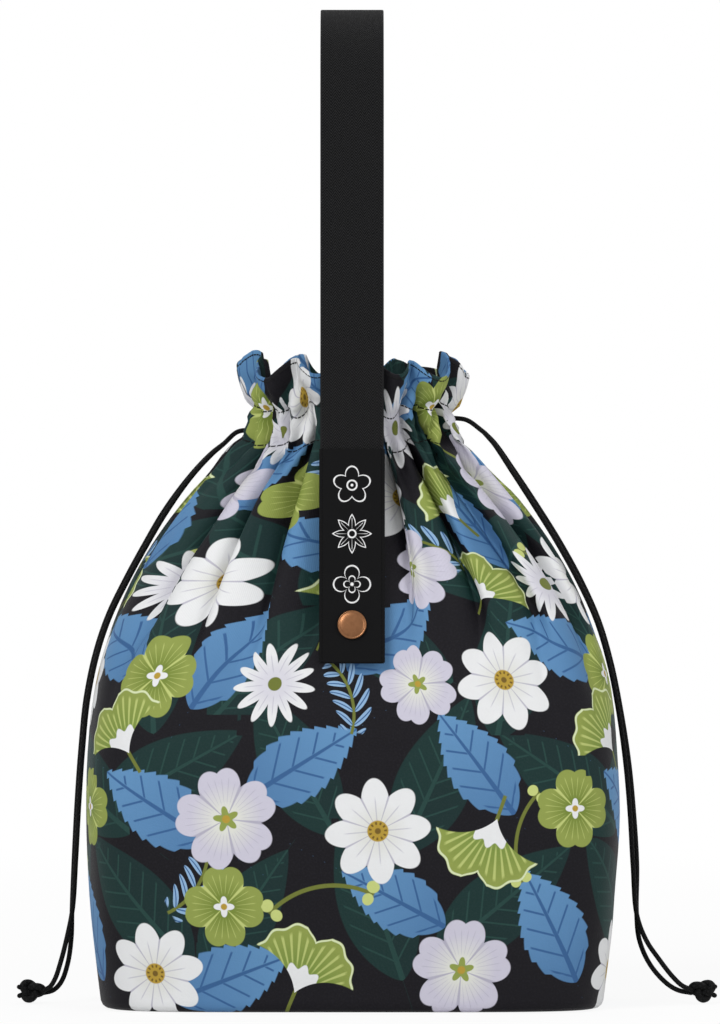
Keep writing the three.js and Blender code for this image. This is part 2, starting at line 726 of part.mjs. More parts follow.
const capBack = patchFront + SNAP_CLEARANCE;
const capFront = capBack + CAP_THICKNESS;
const snapCap = turned([
  [0, tabBack],
  [SHANK_RADIUS, tabBack],
  [SHANK_RADIUS, capBack],
  [CAP_RADIUS - METAL_EDGE, capBack],
  [CAP_RADIUS, capBack + CAP_THICKNESS * 0.3],
  [CAP_RADIUS * 0.93, capBack + CAP_THICKNESS * 0.65],
  [CAP_RADIUS * 0.7, capFront - CAP_THICKNESS * 0.1],
  [0, capFront],
]);
const snapSocket = turned([
  [SOCKET_BORE, socketBack],
  [SOCKET_RADIUS - 2 * METAL_EDGE, socketBack],
  [SOCKET_RADIUS, socketBack + SOCKET_THICKNESS / 2],
  [SOCKET_RADIUS - METAL_EDGE, tabBack - SNAP_CLEARANCE],
  [SOCKET_BORE, tabBack - SNAP_CLEARANCE],
  [SOCKET_BORE, socketBack],
]);
const studTop = tabBack - SNAP_CLEARANCE * 2;
const snapStud = turned([
  [0, -CLOTH - SNAP_CLEARANCE - BACKING_THICKNESS],
  [SHANK_RADIUS, -CLOTH - SNAP_CLEARANCE - BACKING_THICKNESS],
  [SHANK_RADIUS, SNAP_CLEARANCE],
  [STUD_FLANGE_RADIUS, SNAP_CLEARANCE],
  [STUD_FLANGE_RADIUS - METAL_EDGE, SNAP_CLEARANCE + STUD_FLANGE],
  [STUD_RADIUS - STUD_GROOVE, SNAP_CLEARANCE + STUD_FLANGE],
  [STUD_RADIUS - STUD_GROOVE, studTop - STUD_HEAD],
  [STUD_RADIUS, studTop - STUD_NOSE],
  [STUD_RADIUS - STUD_GROOVE, studTop],
  [0, studTop],
]);
const backingFront = -CLOTH - SNAP_CLEARANCE;
const snapBacking = turned([
  [SHANK_RADIUS + SNAP_CLEARANCE, backingFront - BACKING_THICKNESS],
  [STUD_FLANGE_RADIUS, backingFront - BACKING_THICKNESS],
  [STUD_FLANGE_RADIUS, backingFront],
  [SHANK_RADIUS + SNAP_CLEARANCE, backingFront],
  [SHANK_RADIUS + SNAP_CLEARANCE, backingFront - BACKING_THICKNESS],
]);
addPiece("snap_cap", snapCap, copper(), snapFrame);
addPiece("snap_socket", snapSocket, copper(), snapFrame);
addPiece("snap_stud", snapStud, copper(), snapFrame);
addPiece("snap_backing", snapBacking, copper(), snapFrame);
group.add(snapFrame);

export default group;
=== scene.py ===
import math

import bpy
import numpy as np
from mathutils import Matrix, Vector


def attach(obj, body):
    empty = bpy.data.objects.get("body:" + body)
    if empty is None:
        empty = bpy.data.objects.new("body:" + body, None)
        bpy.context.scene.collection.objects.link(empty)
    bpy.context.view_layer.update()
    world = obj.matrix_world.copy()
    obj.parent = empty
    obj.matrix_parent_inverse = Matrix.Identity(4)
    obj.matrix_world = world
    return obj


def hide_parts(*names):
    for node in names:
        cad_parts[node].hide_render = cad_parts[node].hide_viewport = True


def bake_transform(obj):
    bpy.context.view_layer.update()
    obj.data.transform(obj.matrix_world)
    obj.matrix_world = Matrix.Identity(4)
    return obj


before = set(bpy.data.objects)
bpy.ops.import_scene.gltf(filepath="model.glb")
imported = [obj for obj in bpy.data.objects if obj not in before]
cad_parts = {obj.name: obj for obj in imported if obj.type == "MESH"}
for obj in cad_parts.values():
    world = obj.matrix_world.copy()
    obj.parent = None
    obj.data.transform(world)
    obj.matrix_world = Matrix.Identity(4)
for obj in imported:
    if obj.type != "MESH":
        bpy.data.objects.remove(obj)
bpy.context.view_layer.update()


# Body cloth. The bag's outside is printed oxford cloth: a front and a back panel sewn together at
# the sides, drawn in to a gathered neck by two cords, and turned in at the rim as a facing. One
# surface runs from the base seam up the outside, over the rim and down the inside of the neck.
BASE_WIDTH, BASE_DEPTH = 0.254, 0.150
BASE_EDGE_RADIUS = 0.0035
BELLY_WIDTH, BELLY_DEPTH, BELLY_HEIGHT = 0.270, 0.158, 0.100
NECK_WIDTH, NECK_DEPTH, NECK_HEIGHT = 0.107, 0.074, 0.294
RIM_WIDTH, RIM_DEPTH, RIM_HEIGHT = 0.120, 0.088, 0.333
BODY_SQUARENESS, NECK_SQUARENESS = 5.0, 2.2
SHOULDER_FULLNESS, SHOULDER_EASE = 2.6, 1.1
TUNNEL_BOTTOM, TUNNEL_TOP = 0.286, 0.303
FACING_BOTTOM = 0.274
HEM_STITCH_DROP = 0.0024
CLOTH_COLUMNS = 448
CLOTH = 0.0005
FRONT_OF_GIRTH, GIRTH_STEPS = 0.75, 2881


def smooth_share(value, low, high):
    """How far a value has come from low to high, eased at both ends."""
    share = np.clip((np.asarray(value, float) - low) / (high - low), 0, 1)
    return share * share * (3 - 2 * share)


def half_size(z, base, belly, neck, rim):
    """Half of the bag's width or depth at a height, over the crests of the gathers."""
    if z < BELLY_HEIGHT:
        swell = math.sin(math.pi / 2 * z / BELLY_HEIGHT)
        drop = max(0.0, BASE_EDGE_RADIUS - z)
        inset = BASE_EDGE_RADIUS - math.sqrt(BASE_EDGE_RADIUS**2 - drop**2)
        return (base + (belly - base) * swell) / 2 - inset
    if z < NECK_HEIGHT:
        climb = (z - BELLY_HEIGHT) / (NECK_HEIGHT - BELLY_HEIGHT)
        fullness = (1 - climb**SHOULDER_FULLNESS) ** SHOULDER_EASE
        return (neck + (belly - neck) * fullness) / 2
    flare = min(1.0, (z - NECK_HEIGHT) / (RIM_HEIGHT - NECK_HEIGHT))
    return (neck + (rim - neck) * flare) / 2


def half_depth(z):
    return half_size(z, BASE_DEPTH, BELLY_DEPTH, NECK_DEPTH, RIM_DEPTH)


def around(u, z):
    """Points and outward directions at shares u of the girth at one height, and the girth."""
    a = half_size(z, BASE_WIDTH, BELLY_WIDTH, NECK_WIDTH, RIM_WIDTH)
    b = half_depth(z)
    power = BODY_SQUARENESS + (NECK_SQUARENESS - BODY_SQUARENESS) * smooth_share(z, BELLY_HEIGHT, NECK_HEIGHT)

    def at(angle):
        cos, sin = np.cos(angle), np.sin(angle)
        reach = (np.abs(cos / a) ** power + np.abs(sin / b) ** power) ** (-1 / power)
        return cos * reach, sin * reach

    turn = np.linspace(0, 2 * math.pi, GIRTH_STEPS)
    x, y = at(turn)
    walked = np.concatenate([[0], np.cumsum(np.hypot(np.diff(x), np.diff(y)))])
    x, y = at(np.interp(u * walked[-1], walked, turn))
    out_x = np.sign(x) * np.abs(x / a) ** (power - 1) / a
    out_y = np.sign(y) * np.abs(y / b) ** (power - 1) / b
    long = np.hypot(out_x, out_y)
    return x, y, out_x / long, out_y / long, walked[-1]


def inset_row(places, z, depth, heights):
    """A row of points at a depth inside the outline that the bag has at one height."""
    x, y, out_x, out_y, girth = around(places, z)
    return np.stack([x - out_x * depth, y - out_y * depth, heights], 1)


def wave(u, *terms):
    """A sum of waves round the girth, each given as (waves, height, place of its start)."""
    return sum(height * np.sin(2 * math.pi * (count * u + start)) for count, height, start in terms)


def fold_shape(turns):
    """0 along the round crest of each fold and 1 in its sharp valley."""
    creased = 1 - np.sqrt(np.cos(math.pi * turns) ** 2 + 0.004)
    rounded = 0.5 - 0.5 * np.cos(2 * math.pi * turns)
    return 0.65 * creased + 0.35 * rounded


# Long folds run down the shoulder, and pairs of them join into the wide waves of the rim. Side
# folds lie between them under the tunnel, and small puckers crumple the tunnel itself.
LONG_FOLDS, SIDE_FOLDS, PUCKERS = 20, 37, 47
long_wander = ((3, 0.15, 0.13), (5, 0.11, 0.61), (9, 0.045, 0.37))
side_wander = ((4, 0.3, 0.8), (7, 0.22, 0.33))
pucker_wander = ((4, 0.4, 0.42), (7, 0.25, 0.05), (15, 0.09, 0.77))
CREST_SPREAD, CREST_LEAN, RIM_SPREAD = 0.55, 1.4, 0.45
GATHERS_START, START_WANDER, STRAP_START, FULLY_GATHERED = 0.150, 0.034, 0.2, 0.262
LAPS_START, LAPS_END, RIM_OPENS = (0.162, 0.202), (0.284, 0.304), (0.301, 0.324)
LONG_DEPTH, SIDE_DEPTH, PUCKER_DEPTH = 0.0165, 0.0042, 0.0046


def long_turns(u, z):
    """Where each place of the girth lies in its long fold, in turns from a crest."""
    settle = sum(height * math.sin(2 * math.pi * start) for count, height, start in long_wander)
    lean = 0.16 * wave(u, (2, 1, 0.3), (5, 0.5, 0.9)) * smooth_share(z, 0.19, 0.3)
    return LONG_FOLDS * u + wave(u, *long_wander) - settle * np.cos(2 * math.pi * u) + lean


def near_strap(u, reach):
    """1 under the strap, at the front and the back, and 0 beyond a reach of the girth from it."""
    return np.exp(-((np.abs((u % 0.5) - 0.25) / reach) ** 4))


def gather_growth(u, z):
    """0 on the smooth wall and 1 where the cloth is fully gathered."""
    strap = near_strap(u, 0.021)
    start = GATHERS_START + START_WANDER * wave(u, (4, 1, 0.2), (9, 0.7, 0.55)) / 1.7
    start = start * (1 - strap) + STRAP_START * strap
    return smooth_share((z - start) / (FULLY_GATHERED - start), 0, 1) ** 1.1


def loosened(z):
    """0 up to the tunnel and 1 at the rim, where the gathers have eased into wide waves."""
    return smooth_share(z, *RIM_OPENS)


def fold_depth(u, z):
    """How deep the gathers lie inside the crests."""
    grown = gather_growth(u, z)
    loose = loosened(z)
    turns = long_turns(u, z)
    in_tunnel = smooth_share(z, 0.270, 0.288) * (1 - loose)
    uneven = 1 + wave(u, (6, 0.2, 0.9), (13, 0.12, 0.35)) * (1 - loose)
    reach = LONG_DEPTH - 0.0085 * in_tunnel - 0.0045 * loose
    profile = fold_shape(turns) * (1 - loose) + fold_shape(turns / 2) * loose
    side_turns = SIDE_FOLDS * u + wave(u, *side_wander) + 0.3 * wave(u, (3, 1, 0.1)) * loose
    side_reach = SIDE_DEPTH - 0.0020 * in_tunnel - 0.0030 * loose
    side_reach = side_reach * grown**1.5 * (1 + wave(u, (5, 0.45, 0.2), (11, 0.35, 0.7)))
    slant = wave(u, (5, 0.8, 0.3), (9, 0.6, 0.6)) * (z - NECK_HEIGHT) / 0.018
    crumple = PUCKER_DEPTH * (1 + wave(u, (8, 0.5, 0.15), (19, 0.4, 0.6)))
    pucker = crumple * smooth_share(z, 0.258, 0.286) * (1 - 0.9 * smooth_share(z, 0.299, 0.309))
    pucker = pucker * fold_shape(PUCKERS * u + wave(u, *pucker_wander) + 0.9 * slant)
    return reach * grown * uneven * profile + side_reach * fold_shape(side_turns) + pucker


def gathered(u, z):
    """Where the cloth lies round the neck: each crest spreads and laps over the valley beside it."""
    turns = long_turns(u, z)
    loose = loosened(z)
    slope = np.gradient(turns, u)
    grown = gather_growth(u, z)
    lapped = smooth_share(z, *LAPS_START) * (1 - smooth_share(z, *LAPS_END))
    lapped = lapped * CREST_LEAN * grown**0.5 * (1 + wave(u, (3, 0.2, 0.21), (5, 0.15, 0.66)))
    shift = CREST_SPREAD * grown * (1 - loose) * np.sin(2 * math.pi * turns) / 2
    shift = shift + lapped * (1 - np.cos(2 * math.pi * turns)) / 2
    shift = shift + RIM_SPREAD * grown * loose * np.sin(math.pi * turns)
    return u + shift / (math.pi * slope)


def panel_sag(u, z):
    """Shallow unevenness of the padded panels, outwards, and the tunnel's own swelling."""
    height = z / 0.1
    sag = wave(u + 0.02 * height, (3, 0.5, 0.1), (7, 0.32, 0.6), (13, 0.2, 0.25))
    sag = sag + 0.35 * np.sin(2 * math.pi * (height * 1.4 + 3 * u)) * wave(u, (5, 1, 0.4))
    body = 0.0011 * sag * smooth_share(z, 0.012, 0.05) * (1 - smooth_share(z, 0.18, 0.25))
    pinch = 0.0026 * np.exp(-(((z - TUNNEL_BOTTOM) / 0.0024) ** 2))
    pinch = pinch + 0.0036 * np.exp(-(((z - TUNNEL_TOP) / 0.0034) ** 2))
    pinch = pinch * (1 - fold_shape(long_turns(u, z)))
    swell = smooth_share(z, TUNNEL_BOTTOM, 0.2925) * (1 - smooth_share(z, 0.2965, TUNNEL_TOP))
    return (body + 0.0016 * swell) * (1 - near_strap(u, 0.035)) - pinch


def height_shift(u, z):
    """How far each place hangs lower than its row: the tunnel wavers, and the flared rim dips."""
    turns = long_turns(u, z)
    flare = smooth_share(z, TUNNEL_TOP, RIM_HEIGHT)
    dip = 0.0046 * (1 + np.cos(math.pi * turns)) + 0.0030 * (1 + wave(u, (4, 0.6, 0.71), (7, 0.5, 0.2)))
    waver = smooth_share(z, 0.256, TUNNEL_BOTTOM) * (1 - 0.7 * flare)
    rise = 0.0021 * wave(u, (5, 1, 0.15), (12, 0.8, 0.5), (23, 0.4, 0.3))
    return flare * dip + waver * (rise + 0.0014 * np.cos(2 * math.pi * turns))


def cloth_row(u, z, inwards):
    """One row of points of the wall, inwards from the cloth's outer face."""
    depth = fold_depth(u, z) - panel_sag(u, z) + inwards
    return inset_row(gathered(u, z), z, depth, z - height_shift(u, z))


def deepest_fold(z):
    return float(fold_depth(np.linspace(0, 1, 1441), z).max())


# The cords run just inside the deepest gathers, and the facing hangs flat behind the cords
deepest = max(deepest_fold(z) for z in (TUNNEL_BOTTOM, NECK_HEIGHT, TUNNEL_TOP))
CORD_RING_DEPTH = deepest + 0.0025
FACING_FLAT_DEPTH = deepest + 0.0043
FACING_BEHIND, FACING_FREE, FACING_CLOSES = 0.0013, 0.0010, 0.277


def behind_cloth(u, z, distance):
    """A row of points behind the cloth's outer face, at a distance square to the face."""
    row = cloth_row(u, z, 0)
    climb = cloth_row(u, z + 0.0004, 0) - cloth_row(u, z - 0.0004, 0)
    across = np.empty_like(row)
    across[1:-1] = row[2:] - row[:-2]
    across[0] = across[-1] = row[1] - row[-2]
    outward = np.cross(across, climb)
    outward /= np.linalg.norm(outward, axis=1)[:, None]
    return row - outward * distance


def facing_row(u, z):
    """A row of the facing: against the outer cloth at the rim, and hanging flat behind the cords."""
    against = behind_cloth(u, z, FACING_BEHIND)
    depth = deepest_fold(z) + FACING_FREE
    depth += (FACING_FLAT_DEPTH - depth) * smooth_share(z, FACING_CLOSES, TUNNEL_BOTTOM)
    flat = inset_row(u, z, depth, z - height_shift(u, z))
    hanging = 1 - smooth_share(z, TUNNEL_TOP - 0.004, TUNNEL_TOP + 0.001)
    return against * (1 - hanging) + flat * hanging


def merge_points(distance, faces_outwards=True):
    """Merges the active piece's points that lie within a distance of each other."""
    bpy.ops.object.mode_set(mode="EDIT")
    bpy.ops.mesh.select_all(action="SELECT")
    bpy.ops.mesh.remove_doubles(threshold=distance)
    if faces_outwards:
        bpy.ops.mesh.normals_make_consistent(inside=False)
    bpy.ops.object.mode_set(mode="OBJECT")


def lofted(name, rows, columns):
    """A tube with one ring of points per row, its map holding (share of girth, share of rows)."""
    bpy.ops.object.select_all(action="DESELECT")
    bpy.ops.mesh.primitive_grid_add(x_subdivisions=columns, y_subdivisions=len(rows) - 1, size=1)
    piece = bpy.context.object
    piece.name = name
    points = np.array(rows).reshape(-1, 3)
    piece.data.vertices.foreach_set("co", points.astype(np.float32).ravel())
    merge_points(1e-6, faces_outwards=False)
    bpy.ops.object.shade_smooth()
    return piece


def thicken(piece, thickness):
    """Gives a sheet its thickness, inwards from its outer face."""
    solidify = piece.modifiers.new("thickness", "SOLIDIFY")
    solidify.thickness = thickness
    solidify.offset = -1
    bpy.ops.object.modifier_apply(modifier=solidify.name)


u = np.linspace(0, 1, CLOTH_COLUMNS + 1)
outer_heights = np.concatenate(
    [
        [0, 0.0004, 0.0015, 0.0035, 0.006, 0.010, 0.016],
        np.linspace(0.025, 0.160, 14),
        np.linspace(0.166, 0.266, 22),
        np.linspace(0.2695, 0.3315, 28),
    ]
)
outer_rows = [cloth_row(u, z, 0) for z in outer_heights]
outer_rows += [behind_cloth(u, RIM_HEIGHT - 0.0005, 0.0002), behind_cloth(u, RIM_HEIGHT, 0.0007)]
facing_heights = np.concatenate([[0.3325, 0.331], np.linspace(0.3275, FACING_BOTTOM, 17)])
outer_rows += [facing_row(u, z) for z in facing_heights]
body_cloth = lofted("body_cloth", outer_rows, CLOTH_COLUMNS)
thicken(body_cloth, CLOTH)

row_steps = np.median(np.linalg.norm(np.diff(np.array(outer_rows), axis=0), axis=2), axis=1)
climbed = np.concatenate([[0], np.cumsum(row_steps)])
FLAT_GIRTH = around(u, BELLY_HEIGHT)[4]


def arithmetic(operation):
    """A method that works a value together with others in a Math node."""

    def method(self, *others):
        return self.finish.value("ShaderNodeMath", {"operation": operation}, (self, *others))

    return method


class Value:
    """A number in a material, which ordinary arithmetic turns into Math nodes."""

    def __init__(self, finish, socket):
        self.finish = finish
        self.socket = socket

    __add__ = __radd__ = arithmetic("ADD")
    __sub__ = arithmetic("SUBTRACT")
    __mul__ = __rmul__ = arithmetic("MULTIPLY")
    __truediv__ = arithmetic("DIVIDE")
    __pow__ = arithmetic("POWER")
    __abs__ = arithmetic("ABSOLUTE")
    sin = arithmetic("SINE")
    cos = arithmetic("COSINE")
    fract = arithmetic("FRACT")
    at_least = arithmetic("MAXIMUM")
    at_most = arithmetic("MINIMUM")
    arc_over = arithmetic("ARCTAN2")

    def __rsub__(self, other):
        return self.finish.value("ShaderNodeMath", {"operation": "SUBTRACT"}, (other, self))

    def rises(self, low, high):
        """0 below low and 1 above high, straight between them."""
        sockets = {"Value": self, "From Min": low, "From Max": high}
        return self.finish.value("ShaderNodeMapRange", {"clamp": True}, sockets)

    def over(self, level, soft=0.3):
        """1 where it is over a level and 0 where it is under, with a soft edge."""
        return (self - level).rises(-soft, soft)

    def ribs(self, gap):
        """A wave between -1 and 1 that comes again at every gap."""
        return (self * (2 * math.pi / gap)).sin()

    def dashes(self, gap, half_share, soft):
        """1 on the stitches of a row of thread and 0 between them."""
        return (half_share - abs((self / gap).fract() - 0.5)).over(0, soft)


class Finish:
    """A material made of nodes round one Principled shader."""

    def __init__(self, name, roughness, specular=0.5, metallic=0.0):
        self.material = bpy.data.materials.new(name)
        self.material.use_nodes = True
        self.tree = self.material.node_tree
        self.shader = self.tree.nodes["Principled BSDF"]
        constants = {"Roughness": roughness, "Specular IOR Level": specular, "Metallic": metallic}
        for socket, constant in constants.items():
            self.shader.inputs[socket].default_value = constant

    def node(self, kind, settings, sockets):
        made = self.tree.nodes.new(kind)
        for key, setting in settings.items():
            setattr(made, key, setting)
        pairs = sockets.items() if isinstance(sockets, dict) else enumerate(sockets)
        for key, given in pairs:
            self.feed(given, made.inputs[key])
        return made

    def feed(self, given, socket):
        if isinstance(given, Value):
            self.tree.links.new(given.socket, socket)
        else:
            socket.default_value = given

    def value(self, kind, settings, sockets, output=0):
        return Value(self, self.node(kind, settings, sockets).outputs[output])

    def axes(self, vector):
        split = self.node("ShaderNodeSeparateXYZ", {}, [vector])
        return [Value(self, socket) for socket in split.outputs]

    def attribute(self, name):
        return self.value("ShaderNodeAttribute", {"attribute_name": name}, {}, "Vector")

    def place(self, kind="Object"):
        return self.value("ShaderNodeTexCoord", {}, {}, kind)

    def millimetres(self):
        """Place along the three axes of the object, in millimetres."""
        return [axis * 1000 for axis in self.axes(self.place())]

    def noise(self, place, scale, detail=3.0):
        sockets = {"Vector": place, "Scale": scale, "Detail": detail}
        return self.value("ShaderNodeTexNoise", {}, sockets)

    def mix(self, share, under, over):
        settings = {"data_type": "RGBA"}
        return self.value("ShaderNodeMix", settings, {0: share, 6: under, 7: over}, 2)

    def layered(self, colour, *layers):
        """A colour with others laid over it in turn, each where its own share says."""
        for share, over in layers:
            colour = self.mix(share, colour, over)
        return colour

    def colour(self, given, *layers):
        self.feed(self.layered(given, *layers), self.shader.inputs["Base Color"])

    def bump(self, height, distance, strength=1.0):
        sockets = {"Height": height, "Distance": distance, "Strength": strength}
        relief = self.value("ShaderNodeBump", {}, sockets, "Normal")
        self.feed(relief, self.shader.inputs["Normal"])

    def dress(self, piece):
        piece.data.materials.clear()
        piece.data.materials.append(self.material)


def srgb(red, green, blue):
    """A colour written as 0 to 255 on screen, as the shader wants it."""
    shares = [c / 255 for c in (red, green, blue)]
    linear = [c / 12.92 if c <= 10 / 255 else ((c + 0.055) / 1.055) ** 2.4 for c in shares]
    return (*linear, 1.0)


def finish_piece(piece, finish, body, slot, *nodes):
    """Dresses a piece, says which body it rides on and hides the nodes it stands for. The slot is not used.
    """
    finish.dress(piece)
    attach(piece, body)
    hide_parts(*nodes)


# Print on the cloth: blossoms, fans, leaves and sprigs in white, lilac, lime and blue on a dark
# ground. It repeats three times round the bag. Each place on the cloth holds how it lies within
# the nearest motif of every layer, in millimetres, and the material draws the motifs from that.
REPEAT = FLAT_GIRTH * 1000 / 3
FRONT_SHIFT = FRONT_OF_GIRTH * FLAT_GIRTH * 1000 - REPEAT / 2

# Each motif: x, y, turn in degrees, size, kind
dark_leaves = [
    (18, 58, 40, 1.1, 0), (74, 52, -35, 1.0, 0), (140, 62, 20, 1.15, 0), (206, 58, -50, 1.1, 0),
    (36, 122, -60, 1.1, 0), (100, 128, 30, 1.05, 0), (172, 122, -25, 1.1, 0), (240, 118, 55, 1.1, 0),
    (20, 186, 10, 1.1, 0), (84, 182, -40, 1.1, 0), (146, 190, 60, 1.05, 0), (214, 182, -15, 1.1, 0),
    (44, 246, 50, 1.1, 0), (112, 242, -20, 1.1, 0), (180, 248, 35, 1.1, 0), (248, 244, -55, 1.1, 0),
    (24, 308, -30, 1.1, 0), (92, 306, 45, 1.1, 0), (160, 310, -10, 1.1, 0), (226, 304, 30, 1.1, 0),
    (60, 366, 20, 1.1, 0), (128, 368, -50, 1.1, 0), (196, 366, 55, 1.1, 0), (252, 368, 0, 1.1, 0),
]
blue_leaves = [
    (66, 20, -70, 1.15, 0), (232, 46, 30, 1.15, 0), (150, 60, 62, 1.05, 0), (30, 106, 58, 1.15, 0),
    (104, 128, -58, 1.15, 0), (192, 128, 36, 1.1, 0), (62, 184, -30, 1.15, 0), (246, 188, 66, 1.1, 0),
    (152, 196, -50, 1.15, 0), (96, 246, 66, 1.1, 0), (220, 262, 18, 1.15, 0), (36, 290, -48, 1.15, 0),
    (136, 308, 32, 1.15, 0), (206, 338, -66, 1.1, 0), (72, 354, 50, 1.1, 0), (0, 366, 20, 1.05, 0),
]
sprigs = [
    (112, 66, 100, 1.0, 0), (52, 68, -30, 0.8, 1), (212, 92, 170, 0.85, 0), (128, 164, 20, 0.75, 1),
    (12, 232, -100, 0.85, 0), (182, 246, 60, 0.75, 1), (246, 306, 200, 0.85, 0), (98, 292, 130, 0.8, 1),
]
lower_blossoms = [
    (64, 56, 0, 0.8, 3), (24, 172, 0, 0.85, 3), (164, 168, 40, 0.8, 1), (214, 224, -40, 0.8, 2),
    (112, 300, 0, 0.85, 3), (26, 316, 0, 0.75, 4),
]
upper_blossoms = [
    (26, 22, 10, 0.92, 0), (106, 28, -25, 0.95, 2), (186, 24, 15, 1.0, 1), (242, 105, 0, 0.78, 3),
    (66, 100, 30, 1.0, 1), (142, 94, 5, 0.95, 0), (196, 84, 160, 0.95, 2), (6, 146, 35, 0.9, 2),
    (88, 168, 20, 0.8, 4), (210, 170, 12, 0.92, 0), (36, 224, 22, 0.98, 0), (116, 214, -15, 0.95, 2),
    (166, 232, 8, 0.95, 1), (254, 222, 60, 0.8, 4), (72, 276, 10, 0.9, 3), (148, 274, 14, 0.95, 0),
    (206, 276, 30, 0.95, 2), (8, 282, 5, 0.98, 1), (62, 334, 0, 0.92, 0), (124, 344, 18, 0.95, 2),
    (186, 322, 12, 0.9, 4), (244, 330, -20, 0.9, 3),
]


mesh = body_cloth.data
flat = np.empty(len(mesh.loops) * 2, np.float32)
mesh.uv_layers[0].data.foreach_get("uv", flat)
flat = flat.reshape(-1, 4, 2).astype(float)
flat_along = flat[:, :, 0] * FLAT_GIRTH * 1000
flat_up = np.interp(flat[:, :, 1] * (len(climbed) - 1), np.arange(len(climbed)), climbed) * 1000


def store(name, places):
    """Stores three numbers for each corner of each face of the body cloth."""
    layer = mesh.attributes.new(name, "FLOAT_VECTOR", "CORNER")
    layer.data.foreach_set("vector", places.astype(np.float32).ravel())


def lay_out(name, motifs, half_width, half_length):
    """Stores, for each corner of each face, its place within the face's nearest motif."""
    along = flat_along - FRONT_SHIFT
    middle_x, middle_y = along.mean(1) % REPEAT, flat_up.mean(1)
    whole_repeats = along.mean(1) - middle_x
    best = np.full(len(flat), 1e9)
    held = np.zeros((len(flat), 4, 3))
    for x, y, turn, size, kind in motifs:
        angle = math.radians(turn)
        cos, sin = math.cos(angle) / size, math.sin(angle) / size
        for repeat in (-REPEAT, 0, REPEAT):
            dx, dy = middle_x - x - repeat, middle_y - y
            away = np.hypot((dx * cos + dy * sin) / half_width, (dy * cos - dx * sin) / half_length)
            nearer = away < best
            best[nearer] = away[nearer]
            cx = along[nearer] - whole_repeats[nearer, None] - x - repeat
            cy = flat_up[nearer] - y
            held[nearer] = np.stack([cx * cos + cy * sin, cy * cos - cx * sin, np.full(cx.shape, kind)], 2)
    store(name, held)


lay_out("dark_leaves", dark_leaves, 17, 36)
lay_out("blue_leaves", blue_leaves, 15, 27)
lay_out("sprigs", sprigs, 20, 32)
lay_out("lower_blossoms", lower_blossoms, 1, 1)
lay_out("upper_blossoms", upper_blossoms, 1, 1)
store("flat_cloth", np.stack([flat_along, flat_up, np.zeros(flat_up.shape)], 2))

WHITE, LILAC, GREY_LINE = srgb(228, 229, 230), srgb(200, 197, 212), srgb(172, 169, 186)
LIME, PALE_LIME, OLIVE = srgb(141, 154, 76), srgb(194, 204, 124), srgb(108, 116, 50)
BLUE, DEEP_BLUE, PALE_BLUE = srgb(98, 145, 188), srgb(54, 94, 142), srgb(140, 174, 208)
TEAL, PALE_TEAL, GROUND = srgb(16, 45, 43), srgb(34, 67, 62), srgb(7, 5, 12)
GOLD, BROWN = srgb(178, 148, 56), srgb(112, 88, 34)

cloth = Finish("printed_oxford_cloth", 0.6, specular=0.15)


def leaf_masks(name, half_width, half_length, vein_gap, tooth):
    """The body and the veins of a toothed leaf with its midrib along Y."""
    x, y, kind = cloth.axes(cloth.attribute(name))
    side = abs(x)
    share = ((y + half_length) / (2 * half_length)).rises(0, 1)
    bulge = ((share**0.82) * math.pi).sin().at_least(0) ** 0.85
    teeth = ((y - side * 0.6) / 6.2).fract() * tooth
    edge = bulge * half_width - teeth - side
    body = edge.over(0, 0.25)
    midrib = (1.3 - share * 0.9 - side).over(0, 0.2)
    rib = abs(((y - side * 0.95) / vein_gap).fract() - 0.5)
    ribs = (0.06 - rib).over(0, 0.02) * edge.over(2.6, 0.4) * (side - 0.8).over(0, 0.3)
    return body, midrib.at_least(ribs) * body, x, share


body, veins, x, share = leaf_masks("dark_leaves", 17, 40, 9.0, 0.0)
dark = cloth.layered(TEAL, (x.over(0, 0.3) * 0.45, srgb(13, 34, 36)), (veins * 0.8, PALE_TEAL))
print_colour = cloth.mix(body, GROUND, dark)
body, veins, x, share = leaf_masks("blue_leaves", 15.5, 29, 10.5, 1.6)
blue = cloth.layered(BLUE, ((1 - share) * 0.55, DEEP_BLUE), (veins, DEEP_BLUE))
print_colour = cloth.mix(body, print_colour, blue)

# Sprigs bend along an arc, with leaflets on both sides or a few berries at the end
x, y, kind = cloth.axes(cloth.attribute("sprigs"))
ARC = 46.0
from_centre_x = x + ARC
radius = (from_centre_x * from_centre_x + y * y) ** 0.5
along_arc = y.arc_over(from_centre_x) * ARC
across = abs(radius - ARC)
on_stem = (29 - abs(along_arc)).over(0, 0.4)
stem = (1.05 - across).over(0, 0.2) * on_stem
leaflet_along = ((along_arc - across * 0.85) / 9.2).fract() * 9.2 - 4.6
leaflet_size = 1 - (along_arc / 31) ** 2 * 0.55
leaflet = 1 - (leaflet_along / 2.7) ** 2 - ((across / leaflet_size - 7.2) / 6.3) ** 2
leaflet = leaflet.over(0, 0.07) * (27 - abs(along_arc)).over(0, 0.6) * kind.over(0.5, 0.1)
leaflet_colour = cloth.mix((0.5 - abs(leaflet_along)).over(0, 0.15), PALE_BLUE, DEEP_BLUE)
berry_x = abs(along_arc) - 27
berry = (3.1 - (berry_x * berry_x + (across - 3.4) ** 2) ** 0.5).over(0, 0.2)
berry = berry * (1 - kind.over(0.5, 0.1))
print_colour = cloth.layered(print_colour, (stem, OLIVE), (leaflet, leaflet_colour), (berry, PALE_LIME))

# Blossoms: kind 0 has eight white petals, 1 five lilac ones, 3 four lime ones and 4 thirteen
# narrow white ones, and 2 is a fan
def petal_place(radius, angle, count):
    """Place along and across the nearest of a ring of petals."""
    turned = (angle * (count / (2 * math.pi)) + 0.5).fract() - 0.5
    from_axis = turned * (2 * math.pi / count)
    return radius * from_axis.cos(), abs(radius * from_axis.sin()), abs(turned) * 2


